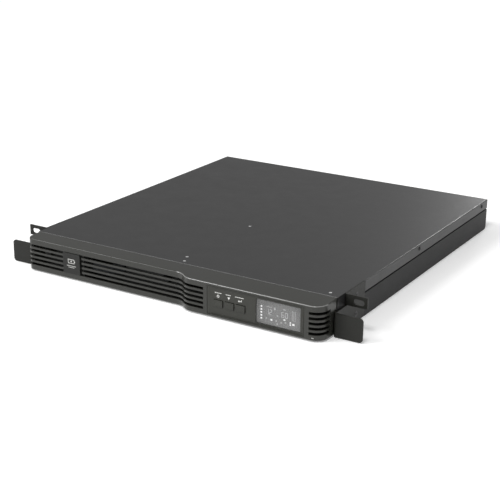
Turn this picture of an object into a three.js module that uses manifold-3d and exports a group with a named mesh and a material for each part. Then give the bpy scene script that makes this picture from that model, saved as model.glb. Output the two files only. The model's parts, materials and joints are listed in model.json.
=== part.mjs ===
// Rack-mount uninterruptible power supply, one rack unit high.
//
// Millimetres, +Z up. X runs across the front, positive to the right as seen from the front.
// Y runs from the front bezel to the rear panel. The origin is on the underside, below the
// middle of the whole object.

import * as THREE from 'three';
import { mergeVertices } from 'three/addons/utils/BufferGeometryUtils.js';
import { ConvexGeometry } from 'three/addons/geometries/ConvexGeometry.js';
import Module from 'manifold-3d';

const wasm = await Module();
wasm.setup();

// ---------------------------------------------------------------- driving dimensions

const CHASSIS_WIDTH = 430;
const CHASSIS_HEIGHT = 43;
const CHASSIS_DEPTH = 431; // ear plane to rear panel
const NOSE_DEPTH = 16; // chassis in front of the ear plane
const BEZEL_PROUD = 50; // raised bezel face in front of the ear plane
const REAR_PROUD = 5.8; // connectors behind the rear panel
const SHEET = 1.2; // chassis steel
const GAP = 0.3; // clearance between pieces that touch

const HALF_WIDTH = CHASSIS_WIDTH / 2;
const EAR_Y = BEZEL_PROUD - (BEZEL_PROUD + CHASSIS_DEPTH + REAR_PROUD) / 2;
const FRONT_Y = EAR_Y - BEZEL_PROUD;
const NOSE_Y = EAR_Y - NOSE_DEPTH;
const REAR_Y = EAR_Y + CHASSIS_DEPTH;

const COVER_UNDERSIDE = CHASSIS_HEIGHT - SHEET;
const WALL_TOP = COVER_UNDERSIDE - 0.4;
const JOG = 1.6; // step inwards of the base wall behind the cover flange
const GROOVE_BOTTOM = 29.2;
const GROOVE_TOP = 30.4;

// Rack brackets
const BRACKET_SHEET = 2;
const EAR_SPAN = 482.6; // over both ears
const EAR_BOTTOM = 29.8;
const TAB_SPAN = 497;
const TAB_FORWARD = 25;
const TAB_TOP = 28.3;
const TAB_CORNER = 4;
const BRACKET_BOTTOM = 0.3;
const BRACKET_REACH = 47.5; // side leg behind the ear plane
const BEND_RADIUS = 3;
const EAR_SLOT = { x: 231, z: 35.8, length: 13, height: 6.6 };
const POCKET_HALF = HALF_WIDTH - BRACKET_SHEET - GAP; // chassis half width beside the legs
const POCKET_REAR_Y = EAR_Y + BRACKET_REACH + GAP;
const WALL_VENT = { left: 12, right: 54, bottom: 7, height: 4, pitch: 8, count: 4 }; // in the front wall

// Bezel, a little lower at its front than where it meets the chassis
const BEZEL_HALF = 211.9;
const BEZEL_BOTTOM = 0.4;
const BEZEL_TOP = 42.9;
const BEZEL_FRONT_BOTTOM = 1.5;
const BEZEL_FRONT_TOP = 41.6;
const BEZEL_WALL = 2.2;
const BEZEL_STEP = 9.7; // how far the left face lies behind the right face
const STEP_LEFT_X = 16.3;
const STEP_RIGHT_X = 41.6;
const RIGHT_CORNER = 14.5;
const LEFT_CORNER = 9.5;
const LEFT_FACE_Y = FRONT_Y + BEZEL_STEP;
const EDGE_BEVEL = 0.6;
const SLOT_HEIGHT = 3.3;
const SLOT_PITCH = 5.9;
const SLOT_FIRST_Z = 9.4;
const SLOT_COUNT = 5;
const SLOT_REAR_Y = EAR_Y - 30; // how far the slots wrap round the corners
const SLOT_STOP_LEFT = 5.6; // solid strip to the left of the control panel
const SLOT_STOP_RIGHT = 6.3; // solid strip to the right of the control panel

// Badge
const BADGE = { left: -152.8, right: -126.9, bottom: 8.1, top: 34.3 };
const BADGE_PROUD = 1;
const BADGE_EDGE = 0.8; // gap round the badge in its opening
const BADGE_NOTCH = 2.2; // wider gap on its right, to lift it out

// Control panel insert
const PANEL = { left: 64.9, right: 189.5, bottom: 4.5, top: 38.4 };
const PANEL_GAP = 0.4;
const PANEL_WALL = 1.8;
const PANEL_DISH = 1.3;
const PANEL_FACE = { left: 71.8, right: 187.5, bottom: 5.3, top: 37.6 };
const WINDOW = { left: 128.3, right: 184.9, bottom: 6.4, top: 35.4 };
const WINDOW_THICKNESS = 1.6;
const BUTTON_X = [79.1, 93.9, 108.6];
const BUTTON_NAMES = ['power_button', 'select_button', 'enter_button'];
const BUTTON_WIDTH = 11.5;
const BUTTON_HEIGHT = 8;
const BUTTON_Z = 18.6;
const BUTTON_PROUD = 1;
const BUTTON_GAP = 0.5;
const BUTTON_TRAVEL = 1.2;

// Battery tray: two columns of two batteries
const TRAY_LEFT = -204.5;
const TRAY_WIDTH = 204;
const TRAY_SHEET = 1;
const TRAY_BOTTOM = 1.6;
const TRAY_LIP = 16;
const BATTERY = { x: 94, y: 151, z: 34 };
const TERMINAL_ROOM = 7.5;
const BATTERY_GAP = 1.5;
const TRAY_FRONT_Y = NOSE_Y + 0.2;
const TRAY_TOP = 38;
const BATTERY_FRONT_Y = TRAY_FRONT_Y + 5.6;
const TRAY_REAR_Y = BATTERY_FRONT_Y + 2 * BATTERY.y + BATTERY_GAP + 10;

// Electronics
const BOARD = { left: 12, right: 200, front: EAR_Y + 128, rear: REAR_Y - 36, z: 7, thick: 1.6 };
const BOARD_TOP = BOARD.z + BOARD.thick;
const TRANSFORMER = { x: 104, y: EAR_Y + 58, z: 21.5 };
const FAN_SIZE = 39.6;
const FAN_DEPTH = 20;
const FAN_X = 188;
const MID_Z = 21.5;

// Rear panel, from the right-hand side of the front view to the left
const INLET_X = 150;
const BREAKER_X = 126;
const BREAKER_Z = 16;
const OUTLET_FIRST_X = -29;
const OUTLET_PITCH = 26;
const OUTLET_COUNT = 6;
const SOCKET = { width: 24.8, height: 34, flange: 1.8, depth: 22 };
const NETWORK_X = -60;
const SERIAL_X = -97;
const USB_X = -125;
const CARD_X = -172;
const GROUND_Z = 33;
const CARD_WIDTH = 60;
const CARD_HEIGHT = 31;

// ---------------------------------------------------------------- materials

const finish = (color, roughness, metalness) =>
  new THREE.MeshStandardMaterial({ color, roughness, metalness, flatShading: true });

const paintedSteel = finish(0x4b4c4c, 0.55, 0.2);
const bracketSteel = finish(0x44443f, 0.5, 0.2);
const bezelPlastic = finish(0x3f403c, 0.45, 0);
const panelPlastic = finish(0x4a4b45, 0.4, 0);
const buttonPlastic = finish(0x45463f, 0.4, 0);
const clearLens = finish(0x77797a, 0.1, 0);
const displayGlass = finish(0x8a8d8c, 0.3, 0);
const circuitBoard = finish(0x1f4a2c, 0.5, 0);
const blackPlastic = finish(0x1c1c1c, 0.5, 0);
const zincSteel = finish(0xa9abab, 0.35, 0.9);
const blackScrew = finish(0x2a2a2a, 0.4, 0.7);
const batteryCase = finish(0x2c2f33, 0.6, 0);
const laminations = finish(0x6a6259, 0.5, 0.7);
const winding = finish(0x9a5b22, 0.5, 0.3);
const aluminium = finish(0xb6b8ba, 0.4, 0.9);
const capacitorSleeve = finish(0x23304a, 0.4, 0);
const relayCase = finish(0x20252b, 0.4, 0);
const strapFabric = finish(0x24262a, 0.9, 0);

// ---------------------------------------------------------------- solid helpers

function solidOf(geometry) {
  geometry.deleteAttribute('normal');
  geometry.deleteAttribute('uv');
  const merged = mergeVertices(geometry, 1e-4);
  const vertProperties = Float32Array.from(merged.attributes.position.array);
  const triVerts = Uint32Array.from(merged.index.array);
  return new wasm.Manifold(new wasm.Mesh({ numProp: 3, vertProperties, triVerts }));
}

function box(x0, x1, y0, y1, z0, z1) {
  const geometry = new THREE.BoxGeometry(x1 - x0, y1 - y0, z1 - z0);
  geometry.translate((x0 + x1) / 2, (y0 + y1) / 2, (z0 + z1) / 2);
  return solidOf(geometry);
}

// A plan outline in X and Y, standing from z0 to z1.
function prismZ(shape, z0, z1, options = {}) {
  const geometry = new THREE.ExtrudeGeometry(shape, {
    depth: z1 - z0,
    bevelEnabled: false,
    curveSegments: 8,
    ...options,
  });
  geometry.translate(0, 0, z0);
  return solidOf(geometry);
}

// A front-view outline in X and Z, running from y0 to y1.
function prismY(shape, y0, y1, curveSegments = 4) {
  const geometry = new THREE.ExtrudeGeometry(shape, {
    depth: y1 - y0,
    bevelEnabled: false,
    curveSegments,
  });
  geometry.rotateX(Math.PI / 2);
  geometry.translate(0, y1, 0);
  return solidOf(geometry);
}

// A side-view outline in Y and Z, running from x0 to x1.
function prismX(shape, x0, x1) {
  const geometry = new THREE.ExtrudeGeometry(shape, { depth: x1 - x0, bevelEnabled: false });
  const turn = new THREE.Matrix4().makeBasis(
    new THREE.Vector3(0, 1, 0),
    new THREE.Vector3(0, 0, 1),
    new THREE.Vector3(1, 0, 0),
  );
  geometry.applyMatrix4(turn);
  geometry.translate(x0, 0, 0);
  return solidOf(geometry);
}

function cylinderY(x, z, radius, y0, y1, sides = 20) {
  const geometry = new THREE.CylinderGeometry(radius, radius, y1 - y0, sides);
  geometry.translate(x, (y0 + y1) / 2, z);
  return solidOf(geometry);
}

function cylinderX(y, z, radius, x0, x1, sides = 12) {
  const geometry = new THREE.CylinderGeometry(radius, radius, x1 - x0, sides);
  geometry.rotateZ(Math.PI / 2);
  geometry.translate((x0 + x1) / 2, y, z);
  return solidOf(geometry);
}

function cylinderZ(x, y, radius, z0, z1, sides = 16) {
  const geometry = new THREE.CylinderGeometry(radius, radius, z1 - z0, sides);
  geometry.rotateX(Math.PI / 2);
  geometry.translate(x, y, (z0 + z1) / 2);
  return solidOf(geometry);
}

// A turned solid about the Y axis; the profile is a list of [radius, y] from axis to axis.
function turnedY(profile, sides = 16) {
  const points = profile.map(([radius, y]) => new THREE.Vector2(radius, y));
  return solidOf(new THREE.LatheGeometry(points, sides));
}

function polygon(points) {
  return new THREE.Shape(points.map(([a, b]) => new THREE.Vector2(a, b)));
}

function roundedRectangle(x0, x1, z0, z1, radius) {
  const shape = new THREE.Shape();
  shape.absarc(x1 - radius, z0 + radius, radius, -Math.PI / 2, 0, false);
  shape.absarc(x1 - radius, z1 - radius, radius, 0, Math.PI / 2, false);
  shape.absarc(x0 + radius, z1 - radius, radius, Math.PI / 2, Math.PI, false);
  shape.absarc(x0 + radius, z0 + radius, radius, Math.PI, 1.5 * Math.PI, false);
  return shape;
}

function join(solids) {
  return solids.reduce((whole, solid) => whole.add(solid));
}

function cut(solid, tools) {
  return tools.reduce((whole, tool) => whole.subtract(tool), solid);
}

function meshOf(name, solid, material) {
  const { vertProperties, triVerts } = solid.getMesh();
  const geometry = new THREE.BufferGeometry();
  geometry.setAttribute('position', new THREE.BufferAttribute(vertProperties, 3));
  geometry.setIndex(new THREE.BufferAttribute(triVerts, 1));
  const mesh = new THREE.Mesh(geometry, material);
  mesh.name = name;
  return mesh;
}

function place(parent, name, solid, material, x = 0, y = 0, z = 0) {
  const mesh = meshOf(name, solid, material);
  mesh.position.set(x, y, z);
  parent.add(mesh);
  return mesh;
}

function mirrored(solid) {
  return solid.mirror([1, 0, 0]);
}

// ---------------------------------------------------------------- chassis

const ups = new THREE.Group();
const chassis = new THREE.Group();
const bezel = new THREE.Group();
const controls = new THREE.Group();
const drawer = new THREE.Group();
const electronics = new THREE.Group();
const rear = new THREE.Group();
ups.add(chassis, bezel, controls, drawer, electronics, rear);

const COVER_SCREW_Y = [EAR_Y + 199, EAR_Y + 410];
const COVER_SCREW_Z = 37.4;
const REAR_CORNER = 4; // corner cut off both side walls at the bottom rear
const COVER_SCREW_RADIUS = 1.6;
const BRACKET_SCREW_Y = EAR_Y + 26;
const BRACKET_SCREW_Z = [10, 33];
const BRACKET_SCREW_RADIUS = 2;
const TRAY_OPENING = {
  left: TRAY_LEFT - 0.6,
  right: TRAY_LEFT + TRAY_WIDTH + 0.6,
  bottom: SHEET,
  top: TRAY_TOP + 0.6,
};
const HOOK = { inner: 208.4, outer: 210.2, bottom: 13, top: 27, length: 9 };

function baseSideWall() {
  const outer = HALF_WIDTH;
  const inner = HALF_WIDTH - JOG;
  return polygon([
    [outer, 0],
    [outer, GROOVE_BOTTOM - 1],
    [inner, GROOVE_BOTTOM],
    [inner, WALL_TOP],
    [inner - SHEET, WALL_TOP],
    [inner - SHEET, GROOVE_BOTTOM - 0.5],
    [outer - SHEET, GROOVE_BOTTOM - 1.5],
    [outer - SHEET, 0],
  ]);
}

function chassisSide() {
  const rearWall = prismY(baseSideWall(), POCKET_REAR_Y, REAR_Y);
  const pocketWall = box(POCKET_HALF - SHEET, POCKET_HALF, NOSE_Y, POCKET_REAR_Y + SHEET, 0, WALL_TOP);
  const web = prismY(
    polygon([
      [POCKET_HALF - SHEET, 0],
      [HALF_WIDTH, 0],
      [HALF_WIDTH, GROOVE_BOTTOM - 1],
      [HALF_WIDTH - JOG, GROOVE_BOTTOM],
      [HALF_WIDTH - JOG, WALL_TOP],
      [POCKET_HALF - SHEET, WALL_TOP],
    ]),
    POCKET_REAR_Y,
    POCKET_REAR_Y + SHEET,
  );
  const coverHoles = COVER_SCREW_Y.map((y) =>
    cylinderX(y, COVER_SCREW_Z, COVER_SCREW_RADIUS + GAP, HALF_WIDTH - 6, HALF_WIDTH + 1),
  );
  const bracketHoles = BRACKET_SCREW_Z.map((z) =>
    cylinderX(BRACKET_SCREW_Y, z, BRACKET_SCREW_RADIUS + GAP, POCKET_HALF - 3, POCKET_HALF + 1),
  );
  return cut(join([rearWall, pocketWall, web]), [...coverHoles, ...bracketHoles]);
}

function chassisBase() {
  const floorRear = box(-HALF_WIDTH, HALF_WIDTH, POCKET_REAR_Y, REAR_Y, 0, SHEET);
  const floorFront = box(-POCKET_HALF, POCKET_HALF, NOSE_Y, POCKET_REAR_Y + 1, 0, SHEET);
  const side = chassisSide();
  const frontWall = box(-POCKET_HALF, POCKET_HALF, NOSE_Y, NOSE_Y + SHEET, 0, WALL_TOP);
  const openings = [
    box(TRAY_OPENING.left, TRAY_OPENING.right, NOSE_Y - 1, NOSE_Y + SHEET + 1, SHEET, TRAY_OPENING.top),
    box(PANEL.left + 12, PANEL.right - 12, NOSE_Y - 1, NOSE_Y + SHEET + 1, PANEL.bottom + 4, PANEL.top - 5),
  ];
  const hookSlot = box(
    HOOK.inner - 0.5,
    HOOK.outer + 0.5,
    NOSE_Y - 1,
    NOSE_Y + SHEET + 1,
    HOOK.bottom - 0.6,
    HOOK.top + 0.6,
  );
  openings.push(hookSlot, mirrored(hookSlot));
  for (let i = 0; i < WALL_VENT.count; i += 1) {
    const z = WALL_VENT.bottom + WALL_VENT.pitch * i;
    openings.push(
      box(WALL_VENT.left, WALL_VENT.right, NOSE_Y - 1, NOSE_Y + SHEET + 1, z, z + WALL_VENT.height),
    );
  }
  const standoffs = [BOARD.left + 8, BOARD.right - 8].flatMap((x) =>
    [BOARD.front + 10, BOARD.rear - 10].map((y) => cylinderZ(x, y, 3, 0.5, BOARD.z - GAP, 8)),
  );
  const cornerCut = prismX(
    polygon([
      [REAR_Y - REAR_CORNER, -1],
      [REAR_Y + 1, -1],
      [REAR_Y + 1, REAR_CORNER],
    ]),
    HALF_WIDTH - SHEET - 1,
    HALF_WIDTH + 1,
  );
  const shell = join([floorRear, floorFront, side, mirrored(side), cut(frontWall, openings)]);
  return cut(join([shell, ...standoffs]), [cornerCut, mirrored(cornerCut)]);
}

// Rivet heads of the inner brackets in the cover: [x, distance behind the ear plane].
const RIVETS = [
  [1, 146.7],
  [-0.7, 5.9],
  [5, -7.8],
  [198.8, -6.4],
];
const RIVET_RADIUS = 1.6;
const RIVET_HEIGHT = 0.4;

function topCover() {
  const folded = prismY(
    polygon([
      [-HALF_WIDTH, GROOVE_TOP],
      [-HALF_WIDTH + SHEET, GROOVE_TOP],
      [-HALF_WIDTH + SHEET, COVER_UNDERSIDE],
      [HALF_WIDTH - SHEET, COVER_UNDERSIDE],
      [HALF_WIDTH - SHEET, GROOVE_TOP],
      [HALF_WIDTH, GROOVE_TOP],
      [HALF_WIDTH, CHASSIS_HEIGHT],
      [-HALF_WIDTH, CHASSIS_HEIGHT],
    ]),
    POCKET_REAR_Y,
    REAR_Y,
  );
  const nose = box(
    -POCKET_HALF,
    POCKET_HALF,
    NOSE_Y,
    POCKET_REAR_Y + 1,
    COVER_UNDERSIDE,
    CHASSIS_HEIGHT,
  );
  const holes = COVER_SCREW_Y.map((y) =>
    cylinderX(y, COVER_SCREW_Z, COVER_SCREW_RADIUS + GAP, -HALF_WIDTH - 1, HALF_WIDTH + 1),
  );
  const rivets = RIVETS.map(([x, y]) =>
    cylinderZ(x, EAR_Y + y, RIVET_RADIUS, COVER_UNDERSIDE + 0.2, CHASSIS_HEIGHT + RIVET_HEIGHT, 10),
  );
  return join([cut(folded, holes), nose, ...rivets]);
}

function coverScrew() {
  const head = cylinderX(0, 0, 2.6, GAP, 1, 12);
  const shank = cylinderX(0, 0, COVER_SCREW_RADIUS, -5, GAP + 0.2, 12);
  return head.add(shank);
}

// Bent strip in plan: the leg along the chassis side, then the plate that turns outwards.
function bentStrip(frontY, outerX) {
  const legOut = HALF_WIDTH;
  const legIn = HALF_WIDTH - BRACKET_SHEET;
  const shape = new THREE.Shape();
  shape.moveTo(legOut, EAR_Y + BRACKET_REACH);
  shape.lineTo(legIn, EAR_Y + BRACKET_REACH);
  shape.lineTo(legIn, frontY + BEND_RADIUS);
  shape.absarc(legIn + BEND_RADIUS, frontY + BEND_RADIUS, BEND_RADIUS, Math.PI, 1.5 * Math.PI, false);
  shape.lineTo(outerX, frontY);
  shape.lineTo(outerX, frontY + BRACKET_SHEET);
  const inner = BEND_RADIUS - BRACKET_SHEET;
  shape.absarc(legIn + BEND_RADIUS, frontY + BEND_RADIUS, inner, 1.5 * Math.PI, Math.PI, true);
  return shape;
}

// The screw is turned about its own axis, with the head's flat top at zero.
const countersunk = (grow) => [
  [0, -0.2 - grow],
  [3.8 + grow, -0.2 - grow],
  [BRACKET_SCREW_RADIUS + grow, 1.6],
  [BRACKET_SCREW_RADIUS + grow, 7],
  [0, 7],
];

function countersunkX(grow, flip) {
  const points = countersunk(grow).map(([radius, along]) => new THREE.Vector2(radius, along));
  const geometry = new THREE.LatheGeometry(points, 12);
  geometry.rotateZ(flip ? -Math.PI / 2 : Math.PI / 2);
  return solidOf(geometry);
}

function rackBracket() {
  const lowerOutline = roundedRectangle(0, TAB_SPAN / 2, BRACKET_BOTTOM, TAB_TOP, TAB_CORNER);
  const lower = prismZ(bentStrip(EAR_Y - TAB_FORWARD, TAB_SPAN / 2), BRACKET_BOTTOM, TAB_TOP, {
    curveSegments: 5,
  }).intersect(prismY(lowerOutline, FRONT_Y, REAR_Y));
  const upper = prismZ(bentStrip(EAR_Y, EAR_SPAN / 2), EAR_BOTTOM, CHASSIS_HEIGHT, { curveSegments: 5 });
  const leg = box(
    HALF_WIDTH - BRACKET_SHEET,
    HALF_WIDTH,
    EAR_Y + BEND_RADIUS,
    EAR_Y + BRACKET_REACH,
    TAB_TOP - 5,
    EAR_BOTTOM + 1,
  );
  const slotEnd = EAR_SLOT.height / 2 - 0.1;
  const slot = prismY(
    roundedRectangle(
      EAR_SLOT.x - EAR_SLOT.length / 2,
      EAR_SLOT.x + EAR_SLOT.length / 2,
      EAR_SLOT.z - EAR_SLOT.height / 2,
      EAR_SLOT.z + EAR_SLOT.height / 2,
      slotEnd,
    ),
    EAR_Y - 1,
    EAR_Y + BRACKET_SHEET + 1,
  );
  const screwHoles = BRACKET_SCREW_Z.map((z) =>
    countersunkX(GAP, false).translate([HALF_WIDTH, BRACKET_SCREW_Y, z]),
  );
  return cut(join([lower, upper, leg]), [slot, ...screwHoles]);
}

function bayDivider() {
  const x = TRAY_OPENING.right + 1.2;
  const endY = TRAY_REAR_Y + 9;
  const wallTop = WALL_TOP - 1;
  const wall = box(x, x + SHEET, NOSE_Y + SHEET + GAP, endY + SHEET, SHEET + GAP, wallTop);
  const end = box(-HALF_WIDTH + 4, x + 0.5, endY, endY + SHEET, SHEET + GAP, wallTop);
  const foot = box(x, x + 8, NOSE_Y + SHEET + GAP, endY + SHEET, SHEET + GAP, 2 * SHEET + GAP);
  const socketHole = box(-118, -82, endY - 1, endY + SHEET + 1, 12, 30);
  return cut(join([wall, end, foot]), [socketHole]);
}

place(chassis, 'chassis_base', chassisBase(), paintedSteel);
place(chassis, 'top_cover', topCover(), paintedSteel);
place(chassis, 'bay_divider', bayDivider(), zincSteel);
place(chassis, 'rack_bracket_right', rackBracket(), bracketSteel);
place(chassis, 'rack_bracket_left', mirrored(rackBracket()), bracketSteel);
for (const [side, sign] of [['right', 1], ['left', -1]]) {
  COVER_SCREW_Y.forEach((y, i) => {
    const screw = sign > 0 ? coverScrew() : mirrored(coverScrew());
    const name = `cover_screw_${side}_${i + 1}`;
    place(chassis, name, screw, blackScrew, sign * HALF_WIDTH, y, COVER_SCREW_Z);
  });
  BRACKET_SCREW_Z.forEach((z, i) => {
    const screw = countersunkX(0, sign < 0);
    const name = `bracket_screw_${side}_${i + 1}`;
    place(chassis, name, screw, blackScrew, sign * HALF_WIDTH, BRACKET_SCREW_Y, z);
  });
}

// ---------------------------------------------------------------- bezel

// Plan outline of the bezel, drawn in from its outer face by inset, open towards the rear.
function bezelOutline(inset, rearY) {
  const side = BEZEL_HALF - inset;
  const right = RIGHT_CORNER - inset;
  const left = LEFT_CORNER - inset;
  const frontRight = FRONT_Y + inset;
  const frontLeft = LEFT_FACE_Y + inset;
  const run = (STEP_RIGHT_X - STEP_LEFT_X) / 2;
  const stepRadius = (run * run + (BEZEL_STEP * BEZEL_STEP) / 4) / BEZEL_STEP;
  const sweep = Math.asin(run / stepRadius);
  const down = -Math.PI / 2;
  const up = Math.PI / 2;
  const shape = new THREE.Shape();
  shape.moveTo(-side, rearY);
  shape.lineTo(-side, frontLeft + left);
  shape.absarc(-side + left, frontLeft + left, left, Math.PI, 1.5 * Math.PI, false);
  const outerCentreY = LEFT_FACE_Y - stepRadius;
  shape.absarc(STEP_LEFT_X, outerCentreY, stepRadius + inset, up, up - sweep, true);
  const innerCentreY = FRONT_Y + stepRadius;
  shape.absarc(STEP_RIGHT_X, innerCentreY, stepRadius - inset, down - sweep, down, false);
  shape.absarc(side - right, frontRight + right, right, down, 0, false);
  shape.lineTo(side, rearY);
  return shape;
}

function slotBox(x0, x1, row) {
  const z = SLOT_FIRST_Z + row * SLOT_PITCH;
  return box(x0, x1, FRONT_Y - 5, SLOT_REAR_Y, z - SLOT_HEIGHT / 2, z + SLOT_HEIGHT / 2);
}

// Lowers the top and raises the bottom of an upright prism towards the front.
function tapered(solid) {
  return solid.warp((vertex) => {
    const forward = (NOSE_Y - vertex[1]) / (NOSE_Y - FRONT_Y);
    const share = (vertex[2] - BEZEL_BOTTOM) / (BEZEL_TOP - BEZEL_BOTTOM);
    const lift = (BEZEL_FRONT_BOTTOM - BEZEL_BOTTOM) * (1 - share) + (BEZEL_FRONT_TOP - BEZEL_TOP) * share;
    vertex[2] += lift * forward;
  });
}

function frontBezel() {
  const outer = tapered(
    prismZ(bezelOutline(0, NOSE_Y + 10), BEZEL_BOTTOM + EDGE_BEVEL, BEZEL_TOP - EDGE_BEVEL, {
      bevelEnabled: true,
      bevelThickness: EDGE_BEVEL,
      bevelSize: EDGE_BEVEL,
      bevelOffset: -EDGE_BEVEL,
      bevelSegments: 1,
      curveSegments: 6,
    }),
  );
  const behind = box(-BEZEL_HALF - 5, BEZEL_HALF + 5, NOSE_Y - GAP, NOSE_Y + 20, -5, 50);
  const hollow = tapered(
    prismZ(
      bezelOutline(BEZEL_WALL, NOSE_Y + 5),
      BEZEL_BOTTOM + BEZEL_WALL,
      BEZEL_TOP - BEZEL_WALL,
      { curveSegments: 6 },
    ),
  );
  const tools = [behind, hollow];
  for (let row = 0; row < SLOT_COUNT; row += 1) {
    tools.push(slotBox(-BEZEL_HALF - 5, BADGE.left - BADGE_EDGE, row));
    tools.push(slotBox(BADGE.right + BADGE_NOTCH, PANEL.left - SLOT_STOP_LEFT, row));
    tools.push(slotBox(PANEL.right + SLOT_STOP_RIGHT, BEZEL_HALF + 5, row));
  }
  tools.push(
    box(
      BADGE.left - BADGE_EDGE,
      BADGE.right + BADGE_NOTCH,
      FRONT_Y - 1,
      LEFT_FACE_Y + 4,
      BADGE.bottom - BADGE_EDGE,
      BADGE.top + BADGE_EDGE,
    ),
  );
  tools.push(
    box(
      PANEL.left - PANEL_GAP,
      PANEL.right + PANEL_GAP,
      FRONT_Y - 5,
      FRONT_Y + 5,
      PANEL.bottom - PANEL_GAP,
      PANEL.top + PANEL_GAP,
    ),
  );
  const hook = box(HOOK.inner, HOOK.outer, NOSE_Y - 4, NOSE_Y + HOOK.length, HOOK.bottom, HOOK.top);
  return join([cut(outer, tools), hook, mirrored(hook)]);
}

function badgePlate() {
  const face = prismY(
    roundedRectangle(BADGE.left, BADGE.right, BADGE.bottom, BADGE.top, 1),
    LEFT_FACE_Y - BADGE_PROUD,
    LEFT_FACE_Y + BEZEL_WALL + 1,
    3,
  );
  const back = box(
    BADGE.left - 3,
    BADGE.right + 4,
    LEFT_FACE_Y + BEZEL_WALL + GAP,
    LEFT_FACE_Y + BEZEL_WALL + GAP + 1.6,
    BADGE.bottom - 3,
    BADGE.top + 3,
  );
  return face.add(back);
}

place(bezel, 'front_bezel', frontBezel(), bezelPlastic);
place(bezel, 'badge_plate', badgePlate(), bezelPlastic);

// ---------------------------------------------------------------- control panel

const DISH_Y = FRONT_Y + 0.2 + PANEL_DISH; // flat face of the dished panel
const PANEL_BACK_Y = DISH_Y + PANEL_WALL;

// A tapered pocket: PANEL_FACE at its floor, widening towards the front.
function dishTool() {
  const f = PANEL_FACE;
  const lip = {
    left: PANEL.left + 2.5,
    right: PANEL.right - 1,
    bottom: PANEL.bottom + 0.5,
    top: PANEL.top - 0.5,
  };
  const reach = 0.4; // how far the tool runs past the front face
  const corners = (r, y) => [
    new THREE.Vector3(r.left, y, r.bottom),
    new THREE.Vector3(r.right, y, r.bottom),
    new THREE.Vector3(r.right, y, r.top),
    new THREE.Vector3(r.left, y, r.top),
  ];
  const spread = (key) => lip[key] + ((lip[key] - f[key]) * reach) / PANEL_DISH;
  const outside = {
    left: spread('left'),
    right: spread('right'),
    bottom: spread('bottom'),
    top: spread('top'),
  };
  const front = corners(outside, DISH_Y - PANEL_DISH - reach);
  return solidOf(new ConvexGeometry([...corners(f, DISH_Y), ...front]));
}

function controlPanel() {
  const block = box(PANEL.left, PANEL.right, FRONT_Y + 0.2, NOSE_Y - GAP, PANEL.bottom, PANEL.top);
  const cavity = box(
    PANEL.left + PANEL_WALL,
    PANEL.right - PANEL_WALL,
    PANEL_BACK_Y,
    NOSE_Y + 1,
    PANEL.bottom + PANEL_WALL,
    PANEL.top - PANEL_WALL,
  );
  const window = box(WINDOW.left, WINDOW.right, FRONT_Y, PANEL_BACK_Y + 1, WINDOW.bottom, WINDOW.top);
  const buttonHoles = BUTTON_X.map((x) =>
    box(
      x - BUTTON_WIDTH / 2 - BUTTON_GAP,
      x + BUTTON_WIDTH / 2 + BUTTON_GAP,
      FRONT_Y,
      PANEL_BACK_Y + 1,
      BUTTON_Z - BUTTON_HEIGHT / 2 - BUTTON_GAP,
      BUTTON_Z + BUTTON_HEIGHT / 2 + BUTTON_GAP,
    ),
  );
  return cut(block, [cavity, dishTool(), window, ...buttonHoles]);
}

const BUTTON_FLANGE_Y = PANEL_BACK_Y + GAP;
const SWITCH_Y = BUTTON_FLANGE_Y + 5.2; // front of the switches on the control board
const BOARD_FACE_Y = SWITCH_Y + 3.5;
const HEADER = { left: 101, right: 125, bottom: 17, top: 25 }; // cable header behind the board

// The button's own origin is the middle of its front face.
function button() {
  const faceY = DISH_Y - BUTTON_PROUD;
  const cap = prismY(
    roundedRectangle(-BUTTON_WIDTH / 2, BUTTON_WIDTH / 2, -BUTTON_HEIGHT / 2, BUTTON_HEIGHT / 2, 0.8),
    0,
    BUTTON_FLANGE_Y - faceY + 1,
    2,
  );
  const flange = box(
    -BUTTON_WIDTH / 2 - 1.2,
    BUTTON_WIDTH / 2 + 1.2,
    BUTTON_FLANGE_Y - faceY,
    BUTTON_FLANGE_Y - faceY + 1,
    -BUTTON_HEIGHT / 2 - 1.5,
    BUTTON_HEIGHT / 2 + 1.5,
  );
  const stemEnd = SWITCH_Y - faceY - BUTTON_TRAVEL - GAP;
  const stem = box(-1.5, 1.5, BUTTON_FLANGE_Y - faceY + 0.5, stemEnd, -1.5, 1.5);
  return join([cap, flange, stem]);
}

function displayWindow() {
  return box(
    WINDOW.left + GAP,
    WINDOW.right - GAP,
    DISH_Y + 0.1,
    DISH_Y + 0.1 + WINDOW_THICKNESS,
    WINDOW.bottom + GAP,
    WINDOW.top - GAP,
  );
}

function displayModule() {
  const glassY = PANEL_BACK_Y + GAP;
  const frame = box(
    WINDOW.left - 0.8,
    WINDOW.right + 0.8,
    glassY,
    BOARD_FACE_Y - GAP,
    WINDOW.bottom + 0.2,
    WINDOW.top + 0.4,
  );
  const view = box(
    WINDOW.left + 3,
    WINDOW.right - 3,
    glassY - 1,
    glassY + 0.4,
    WINDOW.bottom + 2,
    WINDOW.top - 2,
  );
  return cut(frame, [view]);
}

function controlBoard() {
  const plate = box(
    PANEL.left + PANEL_WALL + 1,
    PANEL.right - PANEL_WALL - 1,
    BOARD_FACE_Y,
    BOARD_FACE_Y + 1.6,
    PANEL.bottom + PANEL_WALL + GAP,
    PANEL.top - PANEL_WALL - GAP,
  );
  const switches = BUTTON_X.map((x) =>
    box(x - 3, x + 3, SWITCH_Y, BOARD_FACE_Y + 0.5, BUTTON_Z - 3, BUTTON_Z + 3),
  );
  const header = box(
    HEADER.left,
    HEADER.right,
    BOARD_FACE_Y + 1,
    BOARD_FACE_Y + 8,
    HEADER.bottom,
    HEADER.top,
  );
  return join([plate, ...switches, header]);
}

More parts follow.
